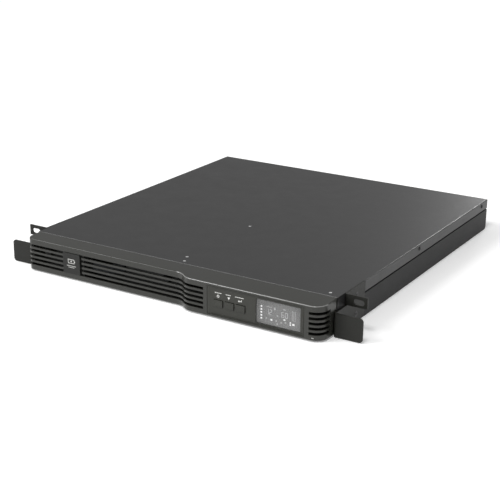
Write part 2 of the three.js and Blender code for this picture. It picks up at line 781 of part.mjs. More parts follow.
place(controls, 'control_panel', controlPanel(), panelPlastic);
place(controls, 'display_window', displayWindow(), clearLens);
place(controls, 'display_module', displayModule(), displayGlass);
place(controls, 'control_board', controlBoard(), circuitBoard);
BUTTON_X.forEach((x, i) => {
  place(controls, BUTTON_NAMES[i], button(), buttonPlastic, x, DISH_Y - BUTTON_PROUD, BUTTON_Z);
});

// ---------------------------------------------------------------- battery tray

const TRAY_RIGHT = TRAY_LEFT + TRAY_WIDTH;
const PLUG_X = -100;
const PLUG_Z = 21;
const THUMB_X = [TRAY_LEFT + 12, TRAY_RIGHT - 12];

function batteryTray() {
  const floor = box(
    TRAY_LEFT,
    TRAY_RIGHT,
    TRAY_FRONT_Y,
    TRAY_REAR_Y,
    TRAY_BOTTOM,
    TRAY_BOTTOM + TRAY_SHEET,
  );
  const lip = (x) => box(x, x + TRAY_SHEET, TRAY_FRONT_Y, TRAY_REAR_Y, TRAY_BOTTOM, TRAY_LIP);
  const back = box(TRAY_LEFT, TRAY_RIGHT, TRAY_REAR_Y - TRAY_SHEET, TRAY_REAR_Y, TRAY_BOTTOM, TRAY_LIP);
  const plate = box(TRAY_LEFT, TRAY_RIGHT, TRAY_FRONT_Y, TRAY_FRONT_Y + SHEET, TRAY_BOTTOM, TRAY_TOP);
  const plugTab = box(PLUG_X - 16, PLUG_X + 16, TRAY_REAR_Y - TRAY_SHEET, TRAY_REAR_Y, TRAY_LIP - 2, 31);
  const plugHole = box(
    PLUG_X - 12,
    PLUG_X + 12,
    TRAY_REAR_Y - 3,
    TRAY_REAR_Y + 1,
    PLUG_Z - 6.3,
    PLUG_Z + 6.3,
  );
  const thumbHoles = THUMB_X.map((x) =>
    cylinderY(x, MID_Z - 1, 2.3, TRAY_FRONT_Y - 1, TRAY_FRONT_Y + SHEET + 1, 12),
  );
  return cut(join([floor, lip(TRAY_LEFT), lip(TRAY_RIGHT - TRAY_SHEET), back, plate, plugTab]), [
    plugHole,
    ...thumbHoles,
  ]);
}

// A sealed battery on its side, with its two blade terminals towards the right.
function battery() {
  const body = box(0, BATTERY.x, 0, BATTERY.y, 0, BATTERY.z);
  const groove = box(BATTERY.x - 9, BATTERY.x - 7.8, -1, 0.8, -1, BATTERY.z + 1);
  const bladeZ = BATTERY.z / 2 - 3.2;
  const terminal = (y) =>
    box(BATTERY.x - 1, BATTERY.x + 5, y, y + 0.8, bladeZ, BATTERY.z - bladeZ);
  return cut(join([body, terminal(12), terminal(BATTERY.y - 13)]), [groove]);
}

function thumbScrew() {
  const head = cylinderY(0, 0, 5.5, -8, -GAP, 16);
  const shank = cylinderY(0, 0, 2, -1, 4, 12);
  return head.add(shank);
}

function pullStrap() {
  const arch = new THREE.Shape();
  arch.moveTo(-26, 0);
  arch.lineTo(-26, -2);
  arch.quadraticCurveTo(0, -30, 26, -2);
  arch.lineTo(26, 0);
  arch.lineTo(23, 0);
  arch.quadraticCurveTo(0, -26, -23, 0);
  return prismZ(arch, -6, 6, { curveSegments: 8 });
}

// The plug's own origin is in the rear face of the tray's upright tab.
function batteryPlug() {
  const body = box(-11.6, 11.6, -8, 8, -6, 6);
  const rim = box(-14, 14, -TRAY_SHEET - GAP - 2, -TRAY_SHEET - GAP, -6, 6);
  return body.add(rim);
}

place(drawer, 'battery_tray', batteryTray(), paintedSteel);
for (let row = 0; row < 2; row += 1) {
  for (let column = 0; column < 2; column += 1) {
    const x = TRAY_LEFT + TRAY_SHEET + 1 + column * (BATTERY.x + TERMINAL_ROOM);
    const y = BATTERY_FRONT_Y + row * (BATTERY.y + BATTERY_GAP);
    const z = TRAY_BOTTOM + TRAY_SHEET + GAP;
    place(drawer, `battery_${1 + column + 2 * row}`, battery(), batteryCase, x, y, z);
  }
}
THUMB_X.forEach((x, i) => {
  place(drawer, `tray_screw_${i + 1}`, thumbScrew(), blackScrew, x, TRAY_FRONT_Y, MID_Z - 1);
});
place(drawer, 'battery_plug', batteryPlug(), blackPlastic, PLUG_X, TRAY_REAR_Y, PLUG_Z);
const STRAP_X = TRAY_LEFT + TRAY_WIDTH / 2;
place(drawer, 'tray_strap', pullStrap(), strapFabric, STRAP_X, TRAY_FRONT_Y - GAP, MID_Z - 1);

// ---------------------------------------------------------------- electronics

// The socket's own origin is the same point as the plug's, so that they mate.
function batterySocket() {
  const body = box(-14, 14, 2, 18, -8.5, 8.5);
  const flange = box(-20, 20, 6.5, 9 - GAP, -8.5, 8.5);
  const recess = box(-12, 12, 1, 8 + GAP, -6.4, 6.4);
  return cut(join([body, flange]), [recess]);
}

// Laminated core lying flat: an outline with a window on either side of its middle limb.
const CORE = { halfX: 57, halfY: 47.5, halfZ: 10, limb: 19, windowX: 38.4, windowY: 28.6 };
const COIL = { halfX: 37.6, halfY: 28, halfZ: 18 };

function transformerCore() {
  const outline = roundedRectangle(-CORE.halfX, CORE.halfX, -CORE.halfY, CORE.halfY, 2);
  const block = prismZ(outline, -CORE.halfZ, CORE.halfZ, { curveSegments: 2 });
  const window = box(
    CORE.limb,
    CORE.windowX,
    -CORE.windowY,
    CORE.windowY,
    -CORE.halfZ - 1,
    CORE.halfZ + 1,
  );
  const footX = CORE.halfX - 7;
  const footY = CORE.halfY - 7.5;
  const footZ = SHEET + GAP - TRANSFORMER.z;
  const feet = [-footX, footX].flatMap((x) =>
    [-footY, footY].map((y) => cylinderZ(x, y, 4, footZ, 1 - CORE.halfZ, 8)),
  );
  return join([cut(block, [window, mirrored(window)]), ...feet]);
}

function transformerCoil() {
  const outline = roundedRectangle(-COIL.halfX, COIL.halfX, -COIL.halfZ, COIL.halfZ, 6);
  const block = prismY(outline, -COIL.halfY, COIL.halfY, 3);
  const limb = CORE.limb + 0.5;
  const clear = CORE.halfZ + 0.5;
  return cut(block, [box(-limb, limb, -COIL.halfY - 1, COIL.halfY + 1, -clear, clear)]);
}

function mainBoard() {
  return box(BOARD.left, BOARD.right, BOARD.front, BOARD.rear, BOARD.z, BOARD_TOP);
}

// A finned extrusion along Y, standing on the board.
function heatSink() {
  const fins = 7;
  const pitch = 6.4;
  const finWidth = 1.8;
  const start = (-pitch * (fins - 1)) / 2;
  const points = [[start - finWidth / 2, 0]];
  for (let i = 0; i < fins; i += 1) {
    const x = start + i * pitch;
    points.push([x - finWidth / 2, i ? 4 : 28], [x - finWidth / 2, 28], [x + finWidth / 2, 28]);
    points.push([x + finWidth / 2, i < fins - 1 ? 4 : 0]);
  }
  const outline = points.filter(([x, z], i) => i === 0 || x !== points[i - 1][0] || z !== points[i - 1][1]);
  return prismY(polygon(outline), 0, 90);
}

function capacitor() {
  const profile = [
    [0, 0],
    [11, 0],
    [11, 27],
    [10, 28],
    [0, 28],
  ];
  const geometry = new THREE.LatheGeometry(profile.map(([r, z]) => new THREE.Vector2(r, z)), 14);
  geometry.rotateX(Math.PI / 2);
  return solidOf(geometry);
}

function relay() {
  return prismZ(roundedRectangle(0, 29, 0, 13, 1), 0, 16, { curveSegments: 2 });
}

const FAN_REACH = FAN_SIZE / 2;
const FAN_BORE = 18.6;
const FAN_HUB = 9.2;
const FAN_SHAFT = 1.5;
const FAN_FRONT_Y = REAR_Y - SHEET - GAP - FAN_DEPTH;

function fanFrame() {
  const shell = box(-FAN_REACH, FAN_REACH, 0, FAN_DEPTH, -FAN_REACH, FAN_REACH);
  const bore = cylinderY(0, 0, FAN_BORE, -1, FAN_DEPTH + 1, 28);
  const holes = [-16, 16].flatMap((x) => [-16, 16].map((z) => cylinderY(x, z, 1.7, -1, FAN_DEPTH + 1, 8)));
  const hub = cylinderY(0, 0, FAN_HUB + 0.3, FAN_DEPTH - 3.2, FAN_DEPTH - 0.2, 20);
  const seat = cylinderY(0, 0, FAN_SHAFT + GAP, FAN_DEPTH - 4, FAN_DEPTH - 1, 10);
  const strut = box(-1.5, 1.5, FAN_DEPTH - 2.7, FAN_DEPTH - 0.7, FAN_HUB - 1, FAN_BORE + 1);
  const struts = [30, 150, 270].map((angle) => strut.rotate([0, angle, 0]));
  return join([cut(shell, [bore, ...holes]), cut(hub, [seat]), ...struts]);
}

function fanRotor() {
  const hub = cylinderY(0, 0, FAN_HUB, 1.5, FAN_DEPTH - 4.2, 20);
  const shaft = cylinderY(0, 0, FAN_SHAFT, FAN_DEPTH - 5, FAN_DEPTH - 1.6, 10);
  const blades = [0, 1, 2, 3, 4, 5, 6].map((i) => {
    const blade = box(-5.6, 5.6, -0.6, 0.6, FAN_HUB - 1, FAN_BORE - 0.8);
    return blade.rotate([0, 0, 50]).translate([0, 8.5, 0]).rotate([0, (360 / 7) * i, 0]);
  });
  return join([hub, shaft, ...blades]);
}

place(electronics, 'battery_socket', batterySocket(), blackPlastic, PLUG_X, TRAY_REAR_Y, PLUG_Z);
const TRANSFORMER_AT = [TRANSFORMER.x, TRANSFORMER.y, TRANSFORMER.z];
place(electronics, 'transformer_core', transformerCore(), laminations, ...TRANSFORMER_AT);
place(electronics, 'transformer_coil', transformerCoil(), winding, ...TRANSFORMER_AT);
place(electronics, 'main_board', mainBoard(), circuitBoard);
place(electronics, 'heat_sink_1', heatSink(), aluminium, 48, BOARD.front + 30, BOARD_TOP + GAP);
place(electronics, 'heat_sink_2', heatSink(), aluminium, 112, BOARD.front + 30, BOARD_TOP + GAP);
for (let i = 0; i < 4; i += 1) {
  const y = BOARD.front + 40 + 26 * i;
  place(electronics, `capacitor_${i + 1}`, capacitor(), capacitorSleeve, 172, y, BOARD_TOP + GAP);
}
for (let i = 0; i < 2; i += 1) {
  const x = 40 + 50 * i;
  place(electronics, `relay_${i + 1}`, relay(), relayCase, x, BOARD.front + 160, BOARD_TOP + GAP);
}
place(electronics, 'fan_frame', fanFrame(), blackPlastic, FAN_X, FAN_FRONT_Y, MID_Z);
place(electronics, 'fan_rotor', fanRotor(), blackPlastic, FAN_X, FAN_FRONT_Y, MID_Z);

// ---------------------------------------------------------------- rear panel

const BREAKER_BUSH = 5.5;
const BREAKER_BORE = 3.9;
const NETWORK = { width: 30, height: 14, depth: 17 };
const USB = { width: 12, height: 10.8, depth: 16 };
const SERIAL_HOLE = { width: 19.8, height: 11.4 };

function panelHole(x, z, width, height) {
  return box(x - width / 2, x + width / 2, REAR_Y - 3, REAR_Y + 1, z - height / 2, z + height / 2);
}

const socketCentres = [INLET_X];
for (let i = 0; i < OUTLET_COUNT; i += 1) {
  socketCentres.push(OUTLET_FIRST_X + OUTLET_PITCH * i);
}

function rearPanel() {
  const half = HALF_WIDTH - JOG - SHEET - GAP;
  const plate = box(-half, half, REAR_Y - SHEET, REAR_Y, SHEET + GAP, WALL_TOP);
  const holes = socketCentres.map((x) => panelHole(x, MID_Z, SOCKET.width - 1.8, SOCKET.height - 3.2));
  holes.push(
    panelHole(NETWORK_X, MID_Z, NETWORK.width + 2 * GAP, NETWORK.height + 2 * GAP),
    panelHole(SERIAL_X, MID_Z, SERIAL_HOLE.width, SERIAL_HOLE.height),
    panelHole(USB_X, MID_Z, USB.width + 2 * GAP, USB.height + 2 * GAP),
    panelHole(CARD_X, MID_Z, CARD_WIDTH, CARD_HEIGHT),
    cylinderY(BREAKER_X, BREAKER_Z, BREAKER_BUSH + GAP, REAR_Y - 3, REAR_Y + 1, 16),
    cylinderY(BREAKER_X, GROUND_Z, 2 + GAP, REAR_Y - 3, REAR_Y + 1, 12),
  );
  const slotPitch = 4.6;
  for (let i = -3; i <= 3; i += 1) {
    const z = i * slotPitch;
    holes.push(panelHole(FAN_X, MID_Z + z, 2 * Math.sqrt(17.5 * 17.5 - z * z), 2.8));
  }
  return cut(plate, holes);
}

// Outline of an appliance coupler, upright, with its two clipped corners at the left.
function couplerOutline(halfWidth, halfHeight, clip) {
  return polygon([
    [halfWidth, -halfHeight],
    [halfWidth, halfHeight],
    [-halfWidth + clip, halfHeight],
    [-halfWidth, halfHeight - clip],
    [-halfWidth, -halfHeight + clip],
    [-halfWidth + clip, -halfHeight],
  ]);
}

// Both kinds of socket have their origin in the outer face of the panel, at their middle.
function socketHousing() {
  const w = SOCKET.width / 2;
  const h = SOCKET.height / 2;
  const flange = prismY(roundedRectangle(-w, w, -h, h, 2), GAP, GAP + SOCKET.flange, 3);
  const body = box(-w + 1.2, w - 1.2, -SOCKET.depth, GAP + 1, -h + 1.9, h - 1.9);
  return flange.add(body);
}

const BLADE_Z = [-7, 0, 7];
const bladeX = (z) => (z === 0 ? 2 : -2);

function mainsInlet() {
  const cavity = prismY(couplerOutline(8.3, 12.1, 3.5), -16, 4);
  const blades = BLADE_Z.map((z) => box(bladeX(z) - 2, bladeX(z) + 2, -17, -1, z - 1, z + 1));
  return join([cut(socketHousing(), [cavity]), ...blades]);
}

function outlet() {
  const groove = cut(prismY(couplerOutline(10.4, 14.3, 4.4), -15, 4), [
    prismY(couplerOutline(7.9, 11.8, 3.4), -16, 5),
  ]);
  const slots = BLADE_Z.map((z) => box(bladeX(z) - 2.2, bladeX(z) + 2.2, -16, 5, z - 1.2, z + 1.2));
  return cut(socketHousing(), [groove, ...slots]);
}

function breakerBody() {
  const body = box(-7.5, 7.5, -26, -SHEET - GAP, -7.5, 7.5);
  const bush = cylinderY(0, 0, BREAKER_BUSH, -SHEET - 1, 3.4, 16);
  const nut = cylinderY(0, 0, 7.6, GAP, 2.2, 6);
  const bore = cylinderY(0, 0, BREAKER_BORE, -16, 5, 16);
  return cut(join([body, bush, nut]), [bore]);
}

function breakerButton() {
  return turnedY(
    [
      [0, -9],
      [3.5, -9],
      [3.5, 4.6],
      [3, 5.1],
      [0, 5.1],
    ],
    16,
  );
}

function usbPort() {
  const w = USB.width / 2;
  const h = USB.height / 2;
  const shell = box(-w, w, -USB.depth, 0.9, -h, h);
  const mouth = prismY(
    polygon([
      [-4.3, -3.9],
      [4.3, -3.9],
      [4.3, 2.3],
      [2.7, 3.9],
      [-2.7, 3.9],
      [-4.3, 2.3],
    ]),
    -9,
    2,
  );
  const tongue = box(-2.8, 2.8, -10, -1, -1.6, 1.6);
  return cut(shell, [mouth]).add(tongue);
}

function serialPort() {
  const flange = prismY(roundedRectangle(-15.4, 15.4, -6.2, 6.2, 1.5), GAP, GAP + 0.8, 3);
  const body = box(-9.4, 9.4, -9, GAP + 0.4, -5.3, 5.3);
  const shell = prismY(
    polygon([
      [-7.2, -4.1],
      [7.2, -4.1],
      [8.4, -2.9],
      [8.4, 4.1],
      [-8.4, 4.1],
      [-8.4, -2.9],
    ]),
    GAP,
    REAR_PROUD,
  );
  const post = (x) => cylinderY(x, 0, 2.7, GAP + 0.4, REAR_PROUD - 0.2, 6);
  const bore = (x) => cylinderY(x, 0, 1.3, 1.6, REAR_PROUD + 1, 8);
  const contacts = [];
  for (let i = 0; i < 5; i += 1) {
    contacts.push(cylinderY(-5.6 + 2.8 * i, 1.4, 0.6, 2, REAR_PROUD + 1, 6));
  }
  for (let i = 0; i < 4; i += 1) {
    contacts.push(cylinderY(-4.2 + 2.8 * i, -1.4, 0.6, 2, REAR_PROUD + 1, 6));
  }
  return cut(join([flange, body, shell, post(-12.5), post(12.5)]), [bore(-12.5), bore(12.5), ...contacts]);
}

const JACK_X = [-7, 7];
const JACK = { width: 11.8, height: 8, depth: 12, bottom: -5.2 };

function networkJacks() {
  const w = NETWORK.width / 2;
  const h = NETWORK.height / 2;
  const body = box(-w, w, -NETWORK.depth, 0.9, -h, h);
  const top = JACK.bottom + JACK.height;
  const mouths = JACK_X.map((x) =>
    box(x - JACK.width / 2, x + JACK.width / 2, -JACK.depth, 2, JACK.bottom, top),
  );
  const latches = JACK_X.map((x) => box(x - 3, x + 3, -JACK.depth, 2, top - 1, top + 2.6));
  return cut(body, [...mouths, ...latches]);
}

function cardCover() {
  const w = CARD_WIDTH / 2 + 4;
  const h = CARD_HEIGHT / 2 + 3;
  const plate = prismY(roundedRectangle(-w, w, -h, h, 1.5), GAP, GAP + SHEET, 3);
  const rib = box(-20, 20, GAP + 0.5, GAP + SHEET + 1.2, -1, 1);
  return plate.add(rib);
}

function groundScrew() {
  const head = cylinderY(0, 0, 4, 1.2, 3.4, 12);
  const washer = cylinderY(0, 0, 5, GAP, 1.4, 16);
  const shank = cylinderY(0, 0, 2, -7, 1, 12);
  const slot = box(-0.5, 0.5, 2.4, 4, -5, 5);
  return cut(join([head, washer, shank]), [slot]);
}

place(rear, 'rear_panel', rearPanel(), paintedSteel);
place(rear, 'mains_inlet', mainsInlet(), blackPlastic, INLET_X, REAR_Y, MID_Z);
for (let i = 0; i < OUTLET_COUNT; i += 1) {
  place(rear, `outlet_${i + 1}`, outlet(), blackPlastic, OUTLET_FIRST_X + OUTLET_PITCH * i, REAR_Y, MID_Z);
}
place(rear, 'breaker_body', breakerBody(), blackPlastic, BREAKER_X, REAR_Y, BREAKER_Z);
place(rear, 'breaker_button', breakerButton(), blackPlastic, BREAKER_X, REAR_Y, BREAKER_Z);
place(rear, 'usb_port', usbPort(), zincSteel, USB_X, REAR_Y, MID_Z);
place(rear, 'serial_port', serialPort(), zincSteel, SERIAL_X, REAR_Y, MID_Z);
place(rear, 'network_jacks', networkJacks(), blackPlastic, NETWORK_X, REAR_Y, MID_Z);
place(rear, 'card_cover', cardCover(), paintedSteel, CARD_X, REAR_Y, MID_Z);
place(rear, 'ground_screw', groundScrew(), zincSteel, BREAKER_X, REAR_Y, GROUND_Z);

export default ups;
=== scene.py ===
"""Looks of a rack-mount uninterruptible power supply, one rack unit high.

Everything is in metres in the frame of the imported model: +X to the right as seen from the front,
+Y from the front bezel to the rear panel, +Z up, origin on the underside.
"""

import json
import math

import bmesh
import bpy
from mathutils import Matrix, Vector


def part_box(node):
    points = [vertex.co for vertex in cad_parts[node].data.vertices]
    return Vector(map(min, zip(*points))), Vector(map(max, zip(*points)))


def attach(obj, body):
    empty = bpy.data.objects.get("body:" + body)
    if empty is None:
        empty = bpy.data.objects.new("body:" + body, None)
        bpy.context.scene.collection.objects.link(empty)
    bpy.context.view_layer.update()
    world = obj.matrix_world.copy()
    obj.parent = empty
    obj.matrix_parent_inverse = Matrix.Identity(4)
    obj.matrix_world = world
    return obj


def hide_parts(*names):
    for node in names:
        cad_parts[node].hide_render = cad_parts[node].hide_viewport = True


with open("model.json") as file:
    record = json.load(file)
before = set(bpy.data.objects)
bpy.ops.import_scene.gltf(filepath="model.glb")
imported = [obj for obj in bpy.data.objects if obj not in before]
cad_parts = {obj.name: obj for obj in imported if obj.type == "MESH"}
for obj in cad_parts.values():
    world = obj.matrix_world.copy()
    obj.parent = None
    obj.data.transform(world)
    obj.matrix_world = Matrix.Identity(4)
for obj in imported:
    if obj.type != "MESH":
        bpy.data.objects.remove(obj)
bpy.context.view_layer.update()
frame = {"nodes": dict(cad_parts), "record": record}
nodes = frame["nodes"]
scene = bpy.context.scene

MM = 0.001
SMOOTH_BELOW = math.radians(28)              # edges that bend more than this are drawn sharp
COVER_TOP = 43.03 * MM                       # flat of the cover, under its rivet heads
FOLD_RADIUS = 1.4 * MM                       # outside of a sheet-metal fold


# ---------------------------------------------------------------- places taken from the frame

def low(node):
    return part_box(node)[0]


def high(node):
    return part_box(node)[1]


NOSE_Y = low("top_cover").y                  # front of the chassis
REAR_Y = high("rear_panel").y                # outer face of the rear panel
FRONT_Y = low("front_bezel").y               # raised right-hand face of the bezel
HALF_WIDTH = high("chassis_base").x
BEZEL_HALF = high("front_bezel").x
BEZEL_LOW = low("front_bezel").z
BEZEL_HIGH = high("front_bezel").z
GAP = 0.3 * MM


# ---------------------------------------------------------------- camera, lights, floor

CAMERA_PLACE = Vector((0.7548, -1.2844, 0.5147))
CAMERA_YAW = math.radians(-31.33)
CAMERA_PITCH = math.radians(-19.177)
CAMERA_ROLL = math.radians(0.48)
FOCAL_LENGTHS = 2.3668                       # focal length over the picture's width


def make_camera():
    data = bpy.data.cameras.new("camera")
    data.sensor_width = 36
    data.lens = FOCAL_LENGTHS * data.sensor_width
    data.clip_start = 0.05
    data.clip_end = 50
    camera = bpy.data.objects.new("camera", data)
    scene.collection.objects.link(camera)
    level = math.cos(CAMERA_PITCH)
    forward = Vector((math.sin(CAMERA_YAW) * level, math.cos(CAMERA_YAW) * level, math.sin(CAMERA_PITCH)))
    across = Vector((math.cos(CAMERA_YAW), -math.sin(CAMERA_YAW), 0))
    upward = across.cross(forward)
    right = math.cos(CAMERA_ROLL) * across + math.sin(CAMERA_ROLL) * upward
    top = math.cos(CAMERA_ROLL) * upward - math.sin(CAMERA_ROLL) * across
    turn = Matrix((right, top, -forward)).transposed()
    camera.matrix_world = Matrix.Translation(CAMERA_PLACE) @ turn.to_4x4()
    scene.camera = camera


def area_light(name, place, target, size, power, colour=(1, 1, 1)):
    data = bpy.data.lights.new(name, "AREA")
    data.shape = "RECTANGLE"
    data.size, data.size_y = size
    data.energy = power
    data.color = colour
    light = bpy.data.objects.new(name, data)
    scene.collection.objects.link(light)
    light.location = place
    light.rotation_euler = (Vector(target) - Vector(place)).to_track_quat("-Z", "Y").to_euler()
    return light


FLOOR_SIZE = 60
FLOOR_DROP = 0.5 * MM                        # the floor lies this far under the object
FLOOR_GLOW = 0.2
SKY = 0.43
KEY = 1.85
KEY_FROM = (-0.62, -0.55, 0.56)
KEY_ANGLE = math.radians(28)
REAR = 19
FRONT = 16


def make_stage():
    scene.view_settings.view_transform = "Standard"
    world = bpy.data.worlds.new("studio")
    scene.world = world
    world.use_nodes = True
    background = world.node_tree.nodes["Background"]
    background.inputs["Color"].default_value = (1, 1, 1, 1)
    background.inputs["Strength"].default_value = SKY
    bpy.ops.mesh.primitive_plane_add(size=FLOOR_SIZE, location=(0, 0, -FLOOR_DROP))
    floor = bpy.context.object
    floor.name = "studio_floor"
    material = bpy.data.materials.new("studio_floor")
    material.use_nodes = True
    shader = material.node_tree.nodes["Principled BSDF"]
    shader.inputs["Base Color"].default_value = (0.96, 0.96, 0.96, 1)
    shader.inputs["Roughness"].default_value = 0.9
    shader.inputs["Specular IOR Level"].default_value = 0.1
    shader.inputs["Emission Color"].default_value = (1, 1, 1, 1)
    shader.inputs["Emission Strength"].default_value = FLOOR_GLOW
    floor.data.materials.append(material)
    key = bpy.data.lights.new("key_light", "SUN")
    key.energy = KEY
    key.angle = KEY_ANGLE
    key_object = bpy.data.objects.new("key_light", key)
    scene.collection.objects.link(key_object)
    key_object.rotation_euler = Vector(KEY_FROM).to_track_quat("Z", "Y").to_euler()
    area_light("rear_light", (-0.45, 3.4, 1.0), (0.15, 0.2, 0), (0.6, 0.4), REAR)
    area_light("front_light", (0.25, -1.1, 1.9), (0.1, -0.2, 0), (0.5, 0.5), FRONT)


# ---------------------------------------------------------------- materials

def link(tree, source, target):
    tree.links.new(source, target)


def surface(name, colour, rough, metal=0.0, grain=0.35 * MM, bump=0.12, variation=0.1,
            stretch=(1, 1, 1), mottle=40, specular=0.5):
    """A painted, moulded or plated surface: grain as bump, slow colour and gloss variation, dust specks."""
    material = bpy.data.materials.new(name)
    material.use_nodes = True
    tree = material.node_tree
    shader = tree.nodes["Principled BSDF"]
    shader.inputs["Metallic"].default_value = metal
    shader.inputs["Specular IOR Level"].default_value = specular
    place = tree.nodes.new("ShaderNodeTexCoord")
    scale = tree.nodes.new("ShaderNodeMapping")
    scale.inputs["Scale"].default_value = stretch
    link(tree, place.outputs["Object"], scale.inputs["Vector"])

    fine = tree.nodes.new("ShaderNodeTexNoise")
    fine.inputs["Scale"].default_value = 1 / grain
    fine.inputs["Detail"].default_value = 3
    link(tree, scale.outputs["Vector"], fine.inputs["Vector"])
    relief = tree.nodes.new("ShaderNodeBump")
    relief.inputs["Strength"].default_value = bump
    relief.inputs["Distance"].default_value = grain * 0.25
    link(tree, fine.outputs["Fac"], relief.inputs["Height"])
    link(tree, relief.outputs["Normal"], shader.inputs["Normal"])

    slow = tree.nodes.new("ShaderNodeTexNoise")
    slow.inputs["Scale"].default_value = mottle
    slow.inputs["Detail"].default_value = 5
    slow.inputs["Roughness"].default_value = 0.6
    link(tree, place.outputs["Object"], slow.inputs["Vector"])
    tint = tree.nodes.new("ShaderNodeMix")
    tint.data_type = "RGBA"
    tint.inputs["A"].default_value = (*[c * (1 - variation) for c in colour], 1)
    tint.inputs["B"].default_value = (*[min(1, c * (1 + variation)) for c in colour], 1)
    link(tree, slow.outputs["Fac"], tint.inputs["Factor"])

    specks = tree.nodes.new("ShaderNodeTexNoise")
    specks.inputs["Scale"].default_value = 900
    specks.inputs["Detail"].default_value = 1
    link(tree, scale.outputs["Vector"], specks.inputs["Vector"])
    sparse = tree.nodes.new("ShaderNodeMapRange")
    sparse.inputs["From Min"].default_value = 0.62
    sparse.inputs["From Max"].default_value = 0.75
    sparse.inputs["To Max"].default_value = 0.5
    link(tree, specks.outputs["Fac"], sparse.inputs["Value"])
    shade = tree.nodes.new("ShaderNodeMix")
    shade.data_type = "RGBA"
    shade.inputs["B"].default_value = (*[min(1, c * 1.5 + 0.004) for c in colour], 1)
    link(tree, tint.outputs["Result"], shade.inputs["A"])
    link(tree, sparse.outputs["Result"], shade.inputs["Factor"])
    link(tree, shade.outputs["Result"], shader.inputs["Base Color"])

    gloss = tree.nodes.new("ShaderNodeMapRange")
    gloss.inputs["To Min"].default_value = max(0.03, rough - 0.06)
    gloss.inputs["To Max"].default_value = min(1, rough + 0.06)
    link(tree, slow.outputs["Fac"], gloss.inputs["Value"])
    link(tree, gloss.outputs["Result"], shader.inputs["Roughness"])
    return material


def banded(name, colour_a, colour_b, rough, axis, pitch, metal=0.0, bump=0.3):
    """Fine parallel bands along one axis: stacked laminations, wound wire, woven webbing."""
    material = surface(name, colour_a, rough, metal=metal, bump=0)
    tree = material.node_tree
    shader = tree.nodes["Principled BSDF"]
    place = tree.nodes.new("ShaderNodeTexCoord")
    bands = tree.nodes.new("ShaderNodeTexWave")
    bands.bands_direction = axis
    bands.inputs["Scale"].default_value = 0.314 / pitch
    bands.inputs["Distortion"].default_value = 0.4
    link(tree, place.outputs["Object"], bands.inputs["Vector"])
    mix = tree.nodes.new("ShaderNodeMix")
    mix.data_type = "RGBA"
    mix.inputs["A"].default_value = (*colour_a, 1)
    mix.inputs["B"].default_value = (*colour_b, 1)
    link(tree, bands.outputs["Fac"], mix.inputs["Factor"])
    link(tree, mix.outputs["Result"], shader.inputs["Base Color"])
    relief = tree.nodes.new("ShaderNodeBump")
    relief.inputs["Strength"].default_value = bump
    relief.inputs["Distance"].default_value = pitch * 0.3
    link(tree, bands.outputs["Fac"], relief.inputs["Height"])
    link(tree, relief.outputs["Normal"], shader.inputs["Normal"])
    return material


def circuit(name):
    """Solder mask with the darker copper pattern under it."""
    material = surface(name, (0.012, 0.09, 0.03), 0.35, bump=0.05)
    tree = material.node_tree
    shader = tree.nodes["Principled BSDF"]
    place = tree.nodes.new("ShaderNodeTexCoord")
    cells = tree.nodes.new("ShaderNodeTexVoronoi")
    cells.distance = "CHEBYCHEV"
    cells.feature = "F2"
    cells.inputs["Scale"].default_value = 120
    link(tree, place.outputs["Object"], cells.inputs["Vector"])
    ramp = tree.nodes.new("ShaderNodeValToRGB")
    ramp.color_ramp.interpolation = "CONSTANT"
    ramp.color_ramp.elements[0].color = (0.008, 0.07, 0.022, 1)
    ramp.color_ramp.elements[1].color = (0.02, 0.13, 0.045, 1)
    ramp.color_ramp.elements[1].position = 0.45
    link(tree, cells.outputs["Distance"], ramp.inputs["Fac"])
    link(tree, ramp.outputs["Color"], shader.inputs["Base Color"])
    return material


def glowing(name, colour, strength):
    material = bpy.data.materials.new(name)
    material.use_nodes = True
    shader = material.node_tree.nodes["Principled BSDF"]
    shader.inputs["Base Color"].default_value = (*colour, 1)
    shader.inputs["Roughness"].default_value = 0.5
    shader.inputs["Emission Color"].default_value = (*colour, 1)
    shader.inputs["Emission Strength"].default_value = strength
    return material


GLOW_MIDDLE = (160 * MM, 17.5 * MM)          # x and z of the brightest point of the display
GLOW_REACH = (54 * MM, 36 * MM)


